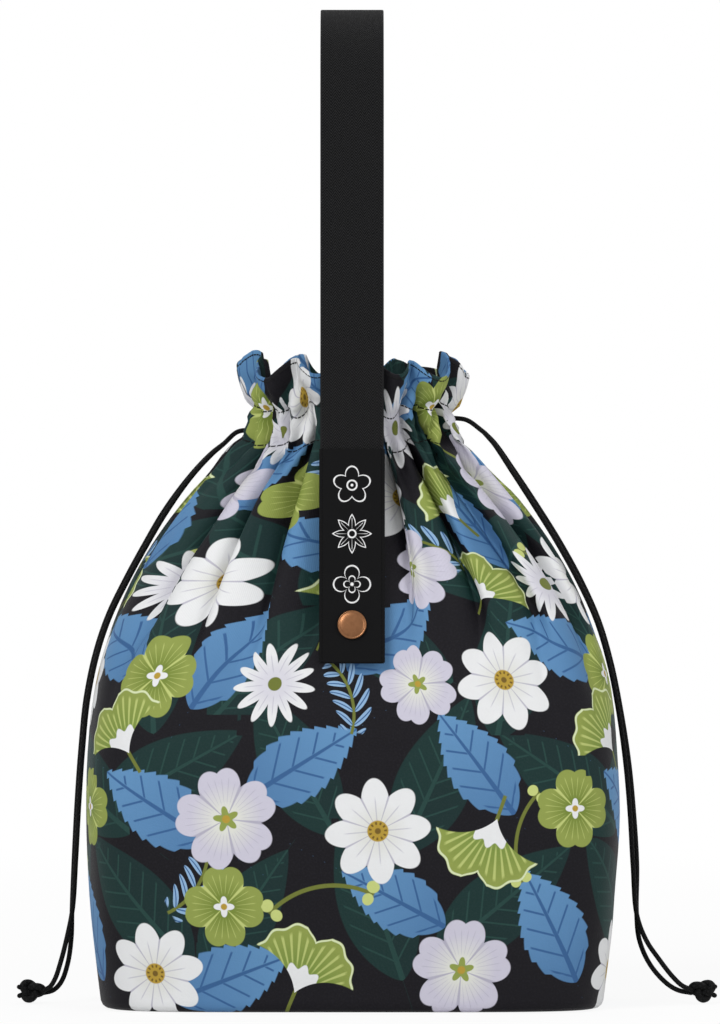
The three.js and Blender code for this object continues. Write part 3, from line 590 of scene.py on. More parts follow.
def white_blossom(radius, angle):
    along_petal, across_petal, turned = petal_place(radius, angle, 8)
    petal = 1 - ((along_petal - 15.2) / 12.8) ** 2 - (across_petal / 7.4) ** 2
    petal = petal.over(0, 0.05).at_least((9 - radius).over(0, 0.3))
    gap_line = (turned.over(0.93, 0.03) * (21 - radius).over(0, 0.5)) * 0.8
    crease = (0.32 - across_petal).over(0, 0.12) * (17 - radius).over(0, 1.5) * 0.55
    seeds = (angle * 11).cos().over(0.2, 0.3) * (0.75 - abs(radius - 4.1)).over(0, 0.2)
    return petal, cloth.layered(
        WHITE,
        (radius.rises(16, 5) * 0.5, srgb(206, 206, 190)),
        (gap_line.at_least(crease), GREY_LINE),
        ((5.6 - radius).over(0, 0.25), GOLD),
        (seeds.at_least((1.6 - radius).over(0, 0.3)), BROWN),
    )


def star_blossom(radius, angle):
    along_petal, across_petal, turned = petal_place(radius, angle, 13)
    petal = 1 - ((along_petal - 14.5) / 12.5) ** 2 - (across_petal / 3.2) ** 2
    petal = petal.over(0, 0.08).at_least((6 - radius).over(0, 0.3))
    crease = (0.3 - across_petal).over(0, 0.12) * (19 - radius).over(0, 1.5) * radius.over(8, 1.0)
    core = (4.4 - radius).over(0, 0.25)
    shaded = (radius.rises(20, 8) * 0.6, LILAC)
    return petal, cloth.layered(WHITE, shaded, (crease * 0.5, GREY_LINE), (core, OLIVE))


def round_blossom(radius, angle, petals, edge, middle, line, star):
    """A blossom of broad petals that join at the middle."""
    along_petal, across_petal, turned = petal_place(radius, angle, petals)
    limit = (turned * 0.5 - turned * turned * 0.72 + 0.88) * 26.5
    vein = abs((turned * 3.5).fract() - 0.5)
    vein = (0.06 - vein).over(0, 0.03) * radius.over(8, 1.0) * (limit - radius).over(5, 1.0) * 0.6
    vein = vein.at_least(turned.over(0.92, 0.03) * 0.9)
    heart = ((angle * petals).cos() * 1.7 + 4.9 - radius).over(0, 0.25)
    core = (2.0 - radius).over(0, 0.25)
    layers = [(radius.rises(18, 6) * 0.75, middle), (vein, line), (heart, star), (core, GOLD)]
    return (limit - radius).over(0, 0.3), cloth.layered(edge, *layers)


def lime_fan(x, y):
    fan_y = y + 18
    radius = (x * x + fan_y * fan_y) ** 0.5
    angle = x.arc_over(fan_y)
    cleft = (0.085 - abs(angle)).rises(-0.12, 0.085) * 8
    within = (angle * 17).cos() * 0.9 + 37 - cleft - (abs(angle) ** 2) * 4.5 - radius
    opening = radius.rises(0, 34) * 0.62 + 0.5
    pleat_lines = (angle * 40).cos().over(0.55, 0.25) * radius.over(15, 2.5)
    foot = ((angle * 12).cos() * 1.6 + 14.5 - radius).over(0, 0.3)
    edge_line = (1.3 - within).over(0, 0.2) * within.over(0, 0.2)
    return within.over(0, 0.25) * (opening - abs(angle)).over(0, 0.012), cloth.layered(
        LIME,
        (radius.rises(34, 16) * 0.5, srgb(98, 130, 52)),
        (pleat_lines * within.over(4.5, 1.0) * 0.75, PALE_LIME),
        (foot, WHITE),
        (edge_line * 0.85, srgb(222, 232, 190)),
    )


def draw_blossoms(name, under):
    """The blossoms of one layer, over the colours drawn so far."""
    x, y, kind = cloth.axes(cloth.attribute(name))
    radius = (x * x + y * y) ** 0.5
    angle = y.arc_over(x)
    past = [kind.over(level, 0.1) for level in (0.5, 1.5, 2.5, 3.5)]
    stalk = (1.0 - abs(x)).over(0, 0.15) * (7 - abs(y + 24)).over(0, 0.3)
    layers = [
        (1 - past[0], white_blossom(radius, angle)),
        (past[3], star_blossom(radius, angle)),
        (past[0] - past[1], round_blossom(radius, angle, 5, LILAC, srgb(226, 228, 212), GREY_LINE, LIME)),
        (past[2] - past[3], round_blossom(radius, angle, 4, LIME, srgb(104, 124, 44), PALE_LIME, WHITE)),
        (past[1] - past[2], (stalk, OLIVE)),
        (past[1] - past[2], lime_fan(x, y)),
    ]
    return cloth.layered(under, *((shape * is_kind, colour) for is_kind, (shape, colour) in layers))


print_colour = draw_blossoms("lower_blossoms", print_colour)
print_colour = draw_blossoms("upper_blossoms", print_colour)

# Weave and the rows of black thread at the rim and along both edges of the tunnel
flat_x, flat_y, flat_z = cloth.axes(cloth.attribute("flat_cloth"))
WEAVE_GAP = 1.05
weave = (flat_x + flat_y).ribs(WEAVE_GAP) * (flat_x - flat_y).ribs(WEAVE_GAP)
mottle = cloth.noise(cloth.attribute("flat_cloth"), 0.9, 4.0)
stitch_levels = [TUNNEL_BOTTOM, TUNNEL_TOP, RIM_HEIGHT - HEM_STITCH_DROP]
stitch_places = np.interp(stitch_levels, outer_heights, climbed[: len(outer_heights)]) * 1000
thread = sum((0.34 - abs(flat_y - float(place))).over(0, 0.12) for place in stitch_places)
thread = thread * flat_x.dashes(3.1, 0.41, 0.04)
HALF_GIRTH = FLAT_GIRTH * 500
side_seam = (0.4 - abs((flat_x / HALF_GIRTH + 0.5).fract() - 0.5) * HALF_GIRTH).over(0, 0.25)
cloth.colour(
    print_colour,
    (weave.rises(-1, 1) * 0.14, srgb(10, 9, 12)),
    (mottle.rises(0.45, 0.75) * 0.02, srgb(140, 140, 150)),
    (thread, srgb(14, 14, 14)),
    (side_seam * 0.75, srgb(10, 9, 12)),
)
cloth.feed(mottle.rises(0.2, 0.8) * 0.12 + 0.54, cloth.shader.inputs["Roughness"])
cloth.bump(weave * 0.10 + thread * 0.5 + mottle * 0.25 - side_seam * 0.8, 0.0005)
cloth_nodes = ["outer_front_panel", "outer_back_panel", "mouth_facing"]
finish_piece(body_cloth, cloth, "bag", "printed_cloth", *cloth_nodes)


# Padding. Four foam pads stand round the wall and one lies on the floor, over a stiffening board
# that the base needs to stay flat. They are loose between the cloth and the lining.
FOAM_OUTSIDE, FOAM_INSIDE = 0.0013, 0.0051
FOAM_BOTTOM, FOAM_TOP = 0.0013, 0.1872
PAD_CORNER, PAD_GAP, SMOOTH_EDGE = 5 / 64, 0.0004, math.radians(40)


def share_at_turn(turn):
    """The share of the girth at a share of a full turn, on the belly."""
    shares = np.linspace(0, 1, 2001)
    x, y, *rest = around(shares, BELLY_HEIGHT)
    turned = np.unwrap(np.arctan2(y, x)) / (2 * math.pi)
    return float(np.interp(turn, turned - turned[0], shares))


foam_finish = Finish("foam", 0.85)
foam_grain = foam_finish.noise(foam_finish.place(), 900.0)
foam_finish.colour(srgb(226, 224, 216), (foam_grain.rises(0.3, 0.7), srgb(240, 238, 232)))
foam_finish.bump(foam_grain, 0.0003)

first, second = share_at_turn(PAD_CORNER), share_at_turn(0.5 - PAD_CORNER)
pad_spans = {
    "foam_right_pad": (-first, first),
    "foam_back_pad": (first, second),
    "foam_left_pad": (second, 1 - second),
    "foam_front_pad": (1 - second, 1 - first),
}
pad_levels = np.concatenate([[FOAM_BOTTOM, 0.003, 0.006, 0.012], np.linspace(0.024, FOAM_TOP, 26)])
for name, (start, stop) in pad_spans.items():
    span = np.linspace(start + PAD_GAP, stop - PAD_GAP, 61)
    going_up = [cloth_row(span, z, FOAM_OUTSIDE) for z in pad_levels]
    going_down = [cloth_row(span, z, FOAM_INSIDE) for z in pad_levels[::-1]]
    pad = lofted(name.replace("_pad", "_sheet"), [*going_up, *going_down, going_up[0]], 60)
    bpy.ops.object.mode_set(mode="EDIT")
    bpy.ops.mesh.select_all(action="DESELECT")
    bpy.ops.mesh.select_non_manifold(
        use_wire=False, use_multi_face=False, use_non_contiguous=False, use_verts=False
    )
    bpy.ops.mesh.fill()
    bpy.ops.mesh.select_all(action="SELECT")
    bpy.ops.mesh.normals_make_consistent(inside=False)
    bpy.ops.object.mode_set(mode="OBJECT")
    bpy.ops.object.shade_smooth_by_angle(angle=SMOOTH_EDGE)
    finish_piece(pad, foam_finish, "bag", "foam", name)


def disc_rows(u, z, inwards, shares, height):
    """Rings of points from the middle of a flat sheet out to its edge."""
    edge = cloth_row(u, z, inwards)
    return [np.stack([edge[:, 0] * s, edge[:, 1] * s, np.full(len(u), height)], 1) for s in shares]


SHEET_COLUMNS = 160
sheet_u = np.linspace(0, 1, SHEET_COLUMNS + 1)
disc_shares = [0.0001, 0.25, 0.5, 0.75, 0.93, 0.995, 1.0]


def flat_sheet(name, bottom, top, inwards):
    """A closed flat sheet with slightly rounded edges, to the outline of the bag."""
    lower = disc_rows(sheet_u, bottom, inwards, disc_shares, bottom)
    upper = disc_rows(sheet_u, bottom, inwards, disc_shares[::-1], top)
    middle = disc_rows(sheet_u, bottom, inwards - 0.0002, [1.0], (bottom + top) / 2)
    sheet = lofted(name, [*lower, *middle, *upper], SHEET_COLUMNS)
    merge_points(0.00003)
    bpy.ops.object.shade_smooth_by_angle(angle=SMOOTH_EDGE)
    return sheet


floor_foam = flat_sheet("foam_base_sheet", 0.0032, 0.0070, 0.0058)
finish_piece(floor_foam, foam_finish, "bag", "foam", "foam_base_pad")

board_finish = Finish("grey_board", 0.6)
board_grain = board_finish.noise(board_finish.place(), 300.0)
board_finish.colour(srgb(132, 134, 135), (board_grain, srgb(150, 152, 152)))
board_finish.bump(board_grain, 0.0002)
board_finish.dress(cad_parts["base_board"])


# Base. A flat panel of plain oxford cloth under the board, cut to the outline of the body and sewn
# all round to its turned-under edge.
base_cloth = flat_sheet("base_cloth", 0.0001, 0.0008, 0.0013)
base_finish = Finish("plain_oxford_cloth", 0.62, specular=0.22)
x, y, z = base_finish.millimetres()
weave = (x + y).ribs(WEAVE_GAP) * (x - y).ribs(WEAVE_GAP)
base_finish.colour(GROUND, (weave.rises(-1, 1) * 0.3, srgb(24, 21, 26)))
base_finish.bump(weave, 0.0001)
finish_piece(base_cloth, base_finish, "bag", "printed_cloth", "outer_base_panel")


# Lining. A welded bucket of silver film inside the padding, its top edge sewn over the lower edge
# of the facing.
LINING, LINING_TOP = 0.0003, 0.2785
LINING_BEHIND, LINING_FREE, LINING_FOLDS, FOAM_CLEARANCE = 0.0064, 0.0016, 0.0030, 0.0062


def lining_row(u, z):
    """Against the foam below, and inside the deepest gathers above, in soft folds of its own."""
    soft_folds = 0.5 - 0.5 * np.cos(2 * math.pi * (long_turns(u, z) + 0.3 * wave(u, (4, 1, 0.4))))
    free = LINING_FREE + FOAM_CLEARANCE * (1 - smooth_share(z, FOAM_TOP, 0.215))
    depth = deepest_fold(z) + free + LINING_FOLDS * soft_folds * gather_growth(u, z)
    hanging = inset_row(u, z, depth, z - height_shift(u, z))
    share = smooth_share(z, 0.172, 0.192)
    return cloth_row(u, z, LINING_BEHIND) * (1 - share) + hanging * share


lining_floor = disc_rows(u, 0.010, 0.0075, [0.0001, 0.2, 0.4, 0.6, 0.8, 0.93, 0.985, 1.0], 0.0079)
lining_levels = [0.0084, 0.0095, 0.0115, *(z for z in outer_heights if 0.015 < z < LINING_TOP), LINING_TOP]
lining_rows = [*lining_floor, *(lining_row(u, z) for z in lining_levels)]
lining = lofted("lining_film", [row[::-1] for row in lining_rows], CLOTH_COLUMNS)
thicken(lining, LINING)
lining_finish = Finish("silver_film", 0.32, metallic=0.85)
crinkle = lining_finish.noise(lining_finish.place(), 55.0, 5.0)
fine_crinkle = lining_finish.noise(lining_finish.place(), 260.0, 3.0)
lining_finish.colour(srgb(196, 199, 202), (crinkle.rises(0.3, 0.7), srgb(224, 226, 228)))
lining_finish.bump(crinkle + fine_crinkle * 0.3, 0.004, 0.6)
finish_piece(lining, lining_finish, "bag", "foil_lining", "lining_bucket")


# Free ends of the drawcords. Two braided cords run round the neck, one out at each side seam, and
# each one's two ends hang down beside the bag, are knotted together and rest on the ground.
CORD = 0.0025
left_front_route = [
    (-0.0652, -0.0028, 0.2846), (-0.0714, -0.0032, 0.2792), (-0.0816, -0.0038, 0.2680),
    (-0.0940, -0.0044, 0.2505), (-0.1044, -0.0048, 0.2330), (-0.1142, -0.0052, 0.2150),
    (-0.1230, -0.0055, 0.1970), (-0.1294, -0.0058, 0.1780), (-0.1342, -0.0060, 0.1550),
    (-0.1368, -0.0060, 0.1300), (-0.1388, -0.0056, 0.1020), (-0.1404, -0.0046, 0.0740),
    (-0.1422, -0.0030, 0.0480), (-0.1454, -0.0024, 0.0320), (-0.1484, -0.0022, 0.0205),
    (-0.1512, -0.0019, 0.0122), (-0.1539, -0.0017, 0.0081), (-0.1572, -0.0016, 0.0066),
]
left_back_route = [
    (-0.0652, 0.0028, 0.2846), (-0.0718, 0.0032, 0.2794), (-0.0824, 0.0038, 0.2682),
    (-0.0954, 0.0044, 0.2508), (-0.1058, 0.0048, 0.2332), (-0.1156, 0.0052, 0.2152),
    (-0.1244, 0.0055, 0.1970), (-0.1308, 0.0058, 0.1780), (-0.1356, 0.0060, 0.1550),
    (-0.1382, 0.0060, 0.1300), (-0.1402, 0.0056, 0.1020), (-0.1416, 0.0046, 0.0740),
    (-0.1426, 0.0030, 0.0480), (-0.1430, 0.0024, 0.0330), (-0.1448, 0.0022, 0.0200),
    (-0.1482, 0.0019, 0.0104), (-0.1522, 0.0017, 0.0063), (-0.1572, 0.0016, 0.0050),
]
right_front_route = [
    (0.0672, -0.0028, 0.2902), (0.0722, -0.0032, 0.2844), (0.0810, -0.0038, 0.2710),
    (0.0926, -0.0044, 0.2530), (0.1044, -0.0048, 0.2340), (0.1156, -0.0052, 0.2135),
    (0.1244, -0.0055, 0.1940), (0.1308, -0.0058, 0.1720), (0.1356, -0.0060, 0.1470),
    (0.1390, -0.0058, 0.1220), (0.1412, -0.0050, 0.0970), (0.1428, -0.0040, 0.0700),
    (0.1448, -0.0026, 0.0450), (0.1496, -0.0022, 0.0320), (0.1560, -0.0020, 0.0225),
    (0.1630, -0.0018, 0.0135), (0.1680, -0.0017, 0.0088), (0.1726, -0.0016, 0.0068),
]
right_back_route = [
    (0.0672, 0.0028, 0.2902), (0.0726, 0.0032, 0.2847), (0.0820, 0.0038, 0.2714),
    (0.0940, 0.0044, 0.2534), (0.1060, 0.0048, 0.2342), (0.1172, 0.0052, 0.2136),
    (0.1258, 0.0055, 0.1940), (0.1322, 0.0058, 0.1720), (0.1372, 0.0060, 0.1470),
    (0.1410, 0.0058, 0.1220), (0.1434, 0.0050, 0.0970), (0.1450, 0.0040, 0.0700),
    (0.1448, 0.0026, 0.0460), (0.1462, 0.0022, 0.0320), (0.1516, 0.0020, 0.0195),
    (0.1600, 0.0018, 0.0099), (0.1660, 0.0017, 0.0063), (0.1726, 0.0016, 0.0050),
]


def walk(points):
    """How far each point lies along the line through all of them."""
    return np.concatenate([[0], np.cumsum(np.linalg.norm(np.diff(points, axis=0), axis=1))])


def between(near, far, start, stop, t):
    return (near * (stop - t) + far * (t - start)) / (stop - start)


def smooth_line(points, spacing):
    """Evenly spaced points on a smooth curve through the given ones."""
    points = np.array(points, float)
    padded = np.vstack([2 * points[0] - points[1], points, 2 * points[-1] - points[-2]])
    knots = np.concatenate([[0], np.cumsum(np.linalg.norm(np.diff(padded, axis=0), axis=1) ** 0.5)])
    drawn = []
    for i in range(1, len(padded) - 2):
        t = np.linspace(knots[i], knots[i + 1], 24, endpoint=False)[:, None]
        p, k = padded[i - 1 : i + 3], knots[i - 1 : i + 3]
        first = [between(p[j], p[j + 1], k[j], k[j + 1], t) for j in range(3)]
        second = [between(first[j], first[j + 1], k[j], k[j + 2], t) for j in range(2)]
        drawn.append(between(second[0], second[1], k[1], k[2], t))
    drawn = np.vstack([*drawn, points[-1:]])
    walked = walk(drawn)
    count = max(2, round(walked[-1] / spacing))
    even = np.linspace(0, walked[-1], count + 1)
    return np.stack([np.interp(even, walked, drawn[:, axis]) for axis in range(3)], 1)


def rings_along(line, radius, sides, taper):
    """Rings of points round a line, each turned as little as possible from the last."""
    heading = np.gradient(line, axis=0)
    heading /= np.linalg.norm(heading, axis=1)[:, None]
    side = np.cross(heading[0], [0.0, 0.0, 1.0])
    if np.linalg.norm(side) < 0.1:
        side = np.cross(heading[0], [0.0, 1.0, 0.0])
    turn = np.linspace(0, 2 * math.pi, sides + 1)[:, None]
    rings = []
    for i, forward in enumerate(heading):
        side = side - forward * side.dot(forward)
        side /= np.linalg.norm(side)
        up = np.cross(forward, side)
        rings.append(line[i] + radius * taper[i] * (np.cos(turn) * side + np.sin(turn) * up))
    return rings


def cord_tube(name, line, radius, sides=12, round_start=True, round_end=True):
    """A closed round tube along a line, its map holding (share round, share along)."""
    rounded, cut = [(1, 0.001), (0.87, 0.5), (0.5, 0.87)], [(1e-5 / radius, 0.001)]
    start = rounded if round_start else cut
    end = (rounded if round_end else cut)[::-1]
    lead, tail = line[0] - line[1], line[-1] - line[-2]
    lead *= radius / np.linalg.norm(lead)
    tail *= radius / np.linalg.norm(tail)
    before = [line[0] + lead * ahead for ahead, thin in start]
    after = [line[-1] + tail * ahead for ahead, thin in end]
    full = np.vstack([before, line, after])
    taper = [thin for ahead, thin in start] + [1.0] * len(line) + [thin for ahead, thin in end]
    tube = lofted(name, rings_along(full, radius, sides, taper), sides)
    merge_points(radius * 0.01)
    return tube


def braided_finish(name, length):
    """Black braid drawn on a tube's own map, for a tube of that length in metres, with painted sheen on its
    strands.
    """
    finish = Finish(name, 0.78, specular=0.14)
    round_share, along_share, none = finish.axes(finish.place("UV"))
    along = along_share * (length * 1000)
    strand = (round_share * 4 + along / 2.6).fract()
    other = (round_share * 4 - along / 2.6).fract()
    ridge_and_sheen = (strand * math.pi).sin() * (other * math.pi).sin()
    # Painted sheen: the ridges of the strands are drawn lighter and the grooves between them darker, as the
    # light falls on the braid.
    finish.colour(srgb(3, 3, 3), (ridge_and_sheen.rises(0.1, 0.9), srgb(17, 17, 18)))
    finish.bump(ridge_and_sheen, 0.0004, 0.8)
    return finish


def braided_cord(name, node, body, line, **shape):
    """One stretch of cord along a line, and its length."""
    cord = cord_tube(name, line, CORD / 2, **shape)
    length = float(walk(line)[-1])
    finish_piece(cord, braided_finish(name, length), body, "cord", node)
    return cord, length


routes = {
    "left_cord_front_strand": left_front_route,
    "left_cord_back_strand": left_back_route,
    "right_cord_front_strand": right_front_route,
    "right_cord_back_strand": right_back_route,
}
free_strands = {}
for name, route in routes.items():
    body = name.split("_")[0] + "_cords"
    line = smooth_line(route, 0.0015)
    free_strands[name] = braided_cord(name + "_braid", name, body, line, round_start=False)


# Held cords. Inside the tunnel each braided cord goes once round the neck, and both of its ends
# come out together at its own side.
LEFT_CORD_HEIGHT, RIGHT_CORD_HEIGHT = 0.2915, 0.2975


def held_cord(name, node, side, height, route):
    """The cord from one free strand, through the tunnel, to the other free strand."""
    start = 0.5 if side < 0 else 0.0
    ring_u = np.linspace(start + 0.025, start + 0.975, 300)
    ring = inset_row(ring_u % 1, height, CORD_RING_DEPTH, np.full(len(ring_u), height))
    strand_start = np.array(route[0])
    back = strand_start - np.array(route[1])
    held_end = strand_start + back / np.linalg.norm(back) * 0.00006
    slot_x = side * (NECK_WIDTH / 2 - 0.001)
    outside, inside = slot_x + side * 0.006, slot_x - side * 0.0075
    through_slot = [(outside, -0.0022, height - 0.0010), (slot_x, -0.0019, height)]
    lead = np.array([held_end, *through_slot, (inside, -0.0030, height)])
    other_lead = lead * [1, -1, 1]
    near_end, far_end = (other_lead, lead) if side > 0 else (lead, other_lead)
    line = smooth_line(np.vstack([near_end, ring[::4], far_end[::-1]]), 0.0012)
    braided_cord(name, node, "bag", line, sides=10, round_start=False, round_end=False)


held_cord("left_held_cord", "left_drawcord_in_tunnel", -1, LEFT_CORD_HEIGHT, left_front_route)
held_cord("right_held_cord", "right_drawcord_in_tunnel", 1, RIGHT_CORD_HEIGHT, right_front_route)

# Knots. The two ends of a cord are tied together in one overhand knot, pulled tight until its three
# lobes close up into a lump, and cut off just past it.
KNOT_CORD, KNOT_REACH, KNOT_RISE, KNOT_DEPTH = 0.0038, 0.00190, 0.00150, 0.00155
CUT_END = 0.0046


def overhand_knot(name, node, body, near_end, side, turned):
    """A tight overhand knot beyond the near end of its strands, its lobes turned by an angle."""
    cos, sin = math.cos(turned), math.sin(turned)
    lobes = []
    for share in np.linspace(0, 1, 97):
        t = 2 * math.pi * share
        across, up = math.sin(t) + 2 * math.sin(2 * t), math.cos(t) - 2 * math.cos(2 * t)
        swing = (across * cos - up * sin, across * sin + up * cos)
        deep = -math.sin(3 * t)
        lobes.append((side * swing[0] * KNOT_REACH, deep * KNOT_DEPTH, swing[1] * KNOT_RISE))
    lobes = np.array(lobes)
    near = (lobes[:, 0] * side).min() - KNOT_CORD / 2
    lobes = lobes + [near_end - side * near, 0, KNOT_CORD / 2 - lobes[:, 2].min()]
    parts = [cord_tube(name, smooth_line(lobes, 0.0005), KNOT_CORD / 2, 14, False, False)]
    middle = lobes.mean(0)
    for lift, sideways in ((0.0012, -0.0014), (-0.0016, 0.0012)):
        cut = middle + [side * (0.0016 + CUT_END), sideways * 1.6, lift * 1.7]
        end = smooth_line([middle, (middle + cut) / 2, cut], 0.0006)
        parts.append(cord_tube(name, end, CORD / 2, round_start=False))
    bpy.ops.object.select_all(action="DESELECT")
    for part in parts:
        part.select_set(True)
    bpy.context.view_layer.objects.active = parts[0]
    bpy.ops.object.join()
    knot = bpy.context.object
    knot.name = name
    finish_piece(knot, braided_finish(name, 0.05), body, "cord", node)
    return knot


knots = {
    "left": overhand_knot("left_knot", "left_cord_knot", "left_cords", -0.1556, -1, 2.5),
    "right": overhand_knot("right_knot", "right_cord_knot", "right_cords", 0.1710, 1, 0.15),
}
for name, (strand, length) in free_strands.items():
    line = smooth_line(routes[name], 0.006)

# Strap. One length of black herringbone webbing: sewn to the back panel, over the top as the
# handle, and down the front to a snapped tab.
WEBBING_WIDTH, WEBBING = 0.032, 0.0014
HANDLE_TOP, HANDLE_HALF_SPAN = 0.505, 0.0475
HANDLE_HINGE = 0.338
STRAP_END, STRAP_LEAVES_BODY = 0.176, 0.232
FRONT_STANDOFF, BACK_STANDOFF = 0.0042, 0.0011
ARCH_CENTRE = HANDLE_TOP - WEBBING / 2 - HANDLE_HALF_SPAN


def strap_line(standoff):
    """Middle of the webbing from its lower end up to the handle, as (distance out, height)."""
    spots = []
    for z in np.linspace(STRAP_END, STRAP_LEAVES_BODY, 5):
        lean = (half_depth(z + 0.001) - half_depth(z - 0.001)) / 0.002
        spots.append((half_depth(z) + standoff * math.hypot(1, lean), z))
    spots.append((HANDLE_HALF_SPAN, HANDLE_HINGE))
    spots = np.array([spots[0], *spots, spots[-1]])
    curve = []
    for i in range(1, len(spots) - 2):
        for t in np.linspace(0, 1, 60, endpoint=False):
            before, here, there, after = spots[i - 1 : i + 3]
            go, come = (there - before) / 2, (after - here) / 2
            cubic = 2 * here - 2 * there + go + come
            square = -3 * here + 3 * there - 2 * go - come
            curve.append(cubic * t**3 + square * t**2 + go * t + here)
    return np.array([*curve, spots[-1]])


back_run = strap_line(BACK_STANDOFF)
front_run = strap_line(FRONT_STANDOFF) * [-1, 1]
arch_turns = np.linspace(0, math.pi, 61)[1:-1]
arch = np.stack([np.cos(arch_turns), np.sin(arch_turns)], 1) * HANDLE_HALF_SPAN + [0, ARCH_CENTRE]
leg = np.linspace(HANDLE_HINGE, ARCH_CENTRE, 60)[1:]
back_leg = np.stack([np.full(len(leg), HANDLE_HALF_SPAN), leg], 1)
front_leg = np.stack([np.full(len(leg), -HANDLE_HALF_SPAN), leg[::-1]], 1)
whole_strap = np.vstack([back_run, back_leg, arch, front_leg, front_run[::-1]])
strap_walk = walk(whole_strap)


def strap_mark(y, z):
    """How far along the whole strap a point of its line is."""
    return float(strap_walk[np.argmin(np.hypot(whole_strap[:, 0] - y, whole_strap[:, 1] - z))])


def flat_band(name, start, stop, width, thickness, offset=0.0, tips=(False, False), spacing=0.001):
    """A band that follows the strap between two marks, rounded along its edges."""
    count = max(4, round((stop - start) / spacing))
    marks = np.linspace(start, stop, count + 1)
    line = np.stack([np.interp(marks, strap_walk, whole_strap[:, axis]) for axis in (0, 1)], 1)
    going = np.gradient(line, axis=0)
    for _ in range(3):
        going[1:-1] = (going[:-2] + going[1:-1] + going[2:]) / 3
    going /= np.hypot(*going.T)[:, None]
    outward = np.stack([going[:, 1], -going[:, 0]], 1)
    line = line + outward * offset
    half, edge = width / 2, thickness / 2
    turn = np.linspace(-math.pi / 2, math.pi / 2, 7)
    across = [(half - edge + edge * math.cos(t), edge * math.sin(t)) for t in turn]
    across += [(x, edge) for x in np.linspace(half - edge, edge - half, 17)[1:-1]]
    across += [(edge - half - edge * math.cos(t), -edge * math.sin(t)) for t in turn]
    across += [(x, -edge) for x in np.linspace(edge - half, half - edge, 17)[1:]]
    across = np.array(across)

    def ring(at, out, thin=1.0):
        y, z = (at[axis] + out[axis] * across[:, 1] * thin for axis in (0, 1))
        return np.stack([across[:, 0], y, z], 1)

    def closing(at, direction, out, is_tip):
        """Rings that close an end, rounded at a tip and flat where the next stretch goes on."""
        steps = [(0.5, 0.87), (0.87, 0.5), (1, 0.001)] if is_tip else [(0, 0.001)]
        return [ring(at + direction * (ahead * edge), out, thin) for ahead, thin in steps]

    rings = [ring(at, out) for at, out in zip(line, outward)]
    begin = closing(line[0], -going[0], outward[0], tips[0])
    end = closing(line[-1], going[-1], outward[-1], tips[1])
    band = lofted(name, [*begin[::-1], *rings, *end], len(across) - 1)
    merge_points(0.00001)
    bpy.ops.object.shade_smooth_by_angle(angle=math.radians(50))
    return band


SEWN_MIDDLE, SEWN_HALF = 17.0, 12.5


def webbing_finish(name, start, stop):
    """Herringbone webbing with painted sheen on its ribs, for a stretch of the strap, whose back end is sewn
    down in a crossed box.
    """
    finish = Finish(name, 0.9, specular=0.12)
    across = finish.millimetres()[0]
    share = finish.axes(finish.place("UV"))[1]
    along = share * ((stop - start) * 1000) + start * 1000
    zigzag = abs((across / 4.2).fract() - 0.5) * 4.2
    rib = (along + zigzag * 1.4).ribs(1.5)
    fuzz = finish.noise(finish.place(), 700.0)
    relief = rib * (1 - abs(across).over(15.0, 0.2) * 0.95)
    out, from_middle = abs(across), abs(along - SEWN_MIDDLE)
    box = (0.4 - abs((out - SEWN_HALF).at_least(from_middle - SEWN_HALF))).over(0, 0.15)
    cross = (0.45 - abs(out - from_middle)).over(0, 0.15)
    cross = cross * (SEWN_HALF - out).over(0, 0.15) * (SEWN_HALF - from_middle).over(0, 0.15)
    sewn = box.at_least(cross)
    thread = sewn * along.dashes(2.4, 0.4, 0.05).at_least(out.over(12, 0.1))
    # Painted sheen: the raised ribs are drawn lighter and the grooves darker, mixed with a random fuzz of
    # tone.
    rib_sheen_and_fuzz = relief.rises(-0.8, 1) * 0.8 + fuzz * 0.2
    finish.colour(srgb(3, 3, 4), (rib_sheen_and_fuzz, srgb(41, 41, 42)), (thread * 0.6, srgb(30, 30, 31)))
    finish.bump(relief * 0.6 + fuzz * 0.6 - sewn * 0.9, 0.0004)
    return finish


def strap_piece(name, start, stop, nodes, tips=(False, False)):
    piece = flat_band(name, start, stop, WEBBING_WIDTH, WEBBING, tips=tips)
    webbing_finish(name, start, stop).dress(piece)
    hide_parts(*nodes)
    return piece


back_top = strap_mark(HANDLE_HALF_SPAN, HANDLE_HINGE)
arch_back = strap_mark(HANDLE_HALF_SPAN, ARCH_CENTRE)
arch_front = strap_mark(-HANDLE_HALF_SPAN, ARCH_CENTRE)
front_top = strap_mark(-HANDLE_HALF_SPAN, HANDLE_HINGE)
arch_middle = (arch_back + arch_front) / 2
strap_end = strap_walk[-1]

leg_middle = (back_top + arch_back) / 2
front_leg_middle = (arch_front + front_top) / 2

strap_behind = strap_piece("strap_behind", 0, leg_middle, ["strap_back_run", "handle_back_leg"])
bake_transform(strap_behind)
handle_behind = strap_piece("handle_behind", leg_middle, arch_middle, ["handle_arch"])
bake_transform(handle_behind)
handle_before = strap_piece("handle_before", arch_middle, front_leg_middle, ["handle_arch"])
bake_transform(handle_before)
strap_before = strap_piece("strap_before", front_leg_middle, front_top, ["handle_front_leg"])
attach(strap_before, "handle_front")
front_nodes = ["strap_front_run", "strap_tab"]
front_strap = strap_piece("front_strap", front_top + 0.00005, strap_end, front_nodes, (False, True))
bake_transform(front_strap)


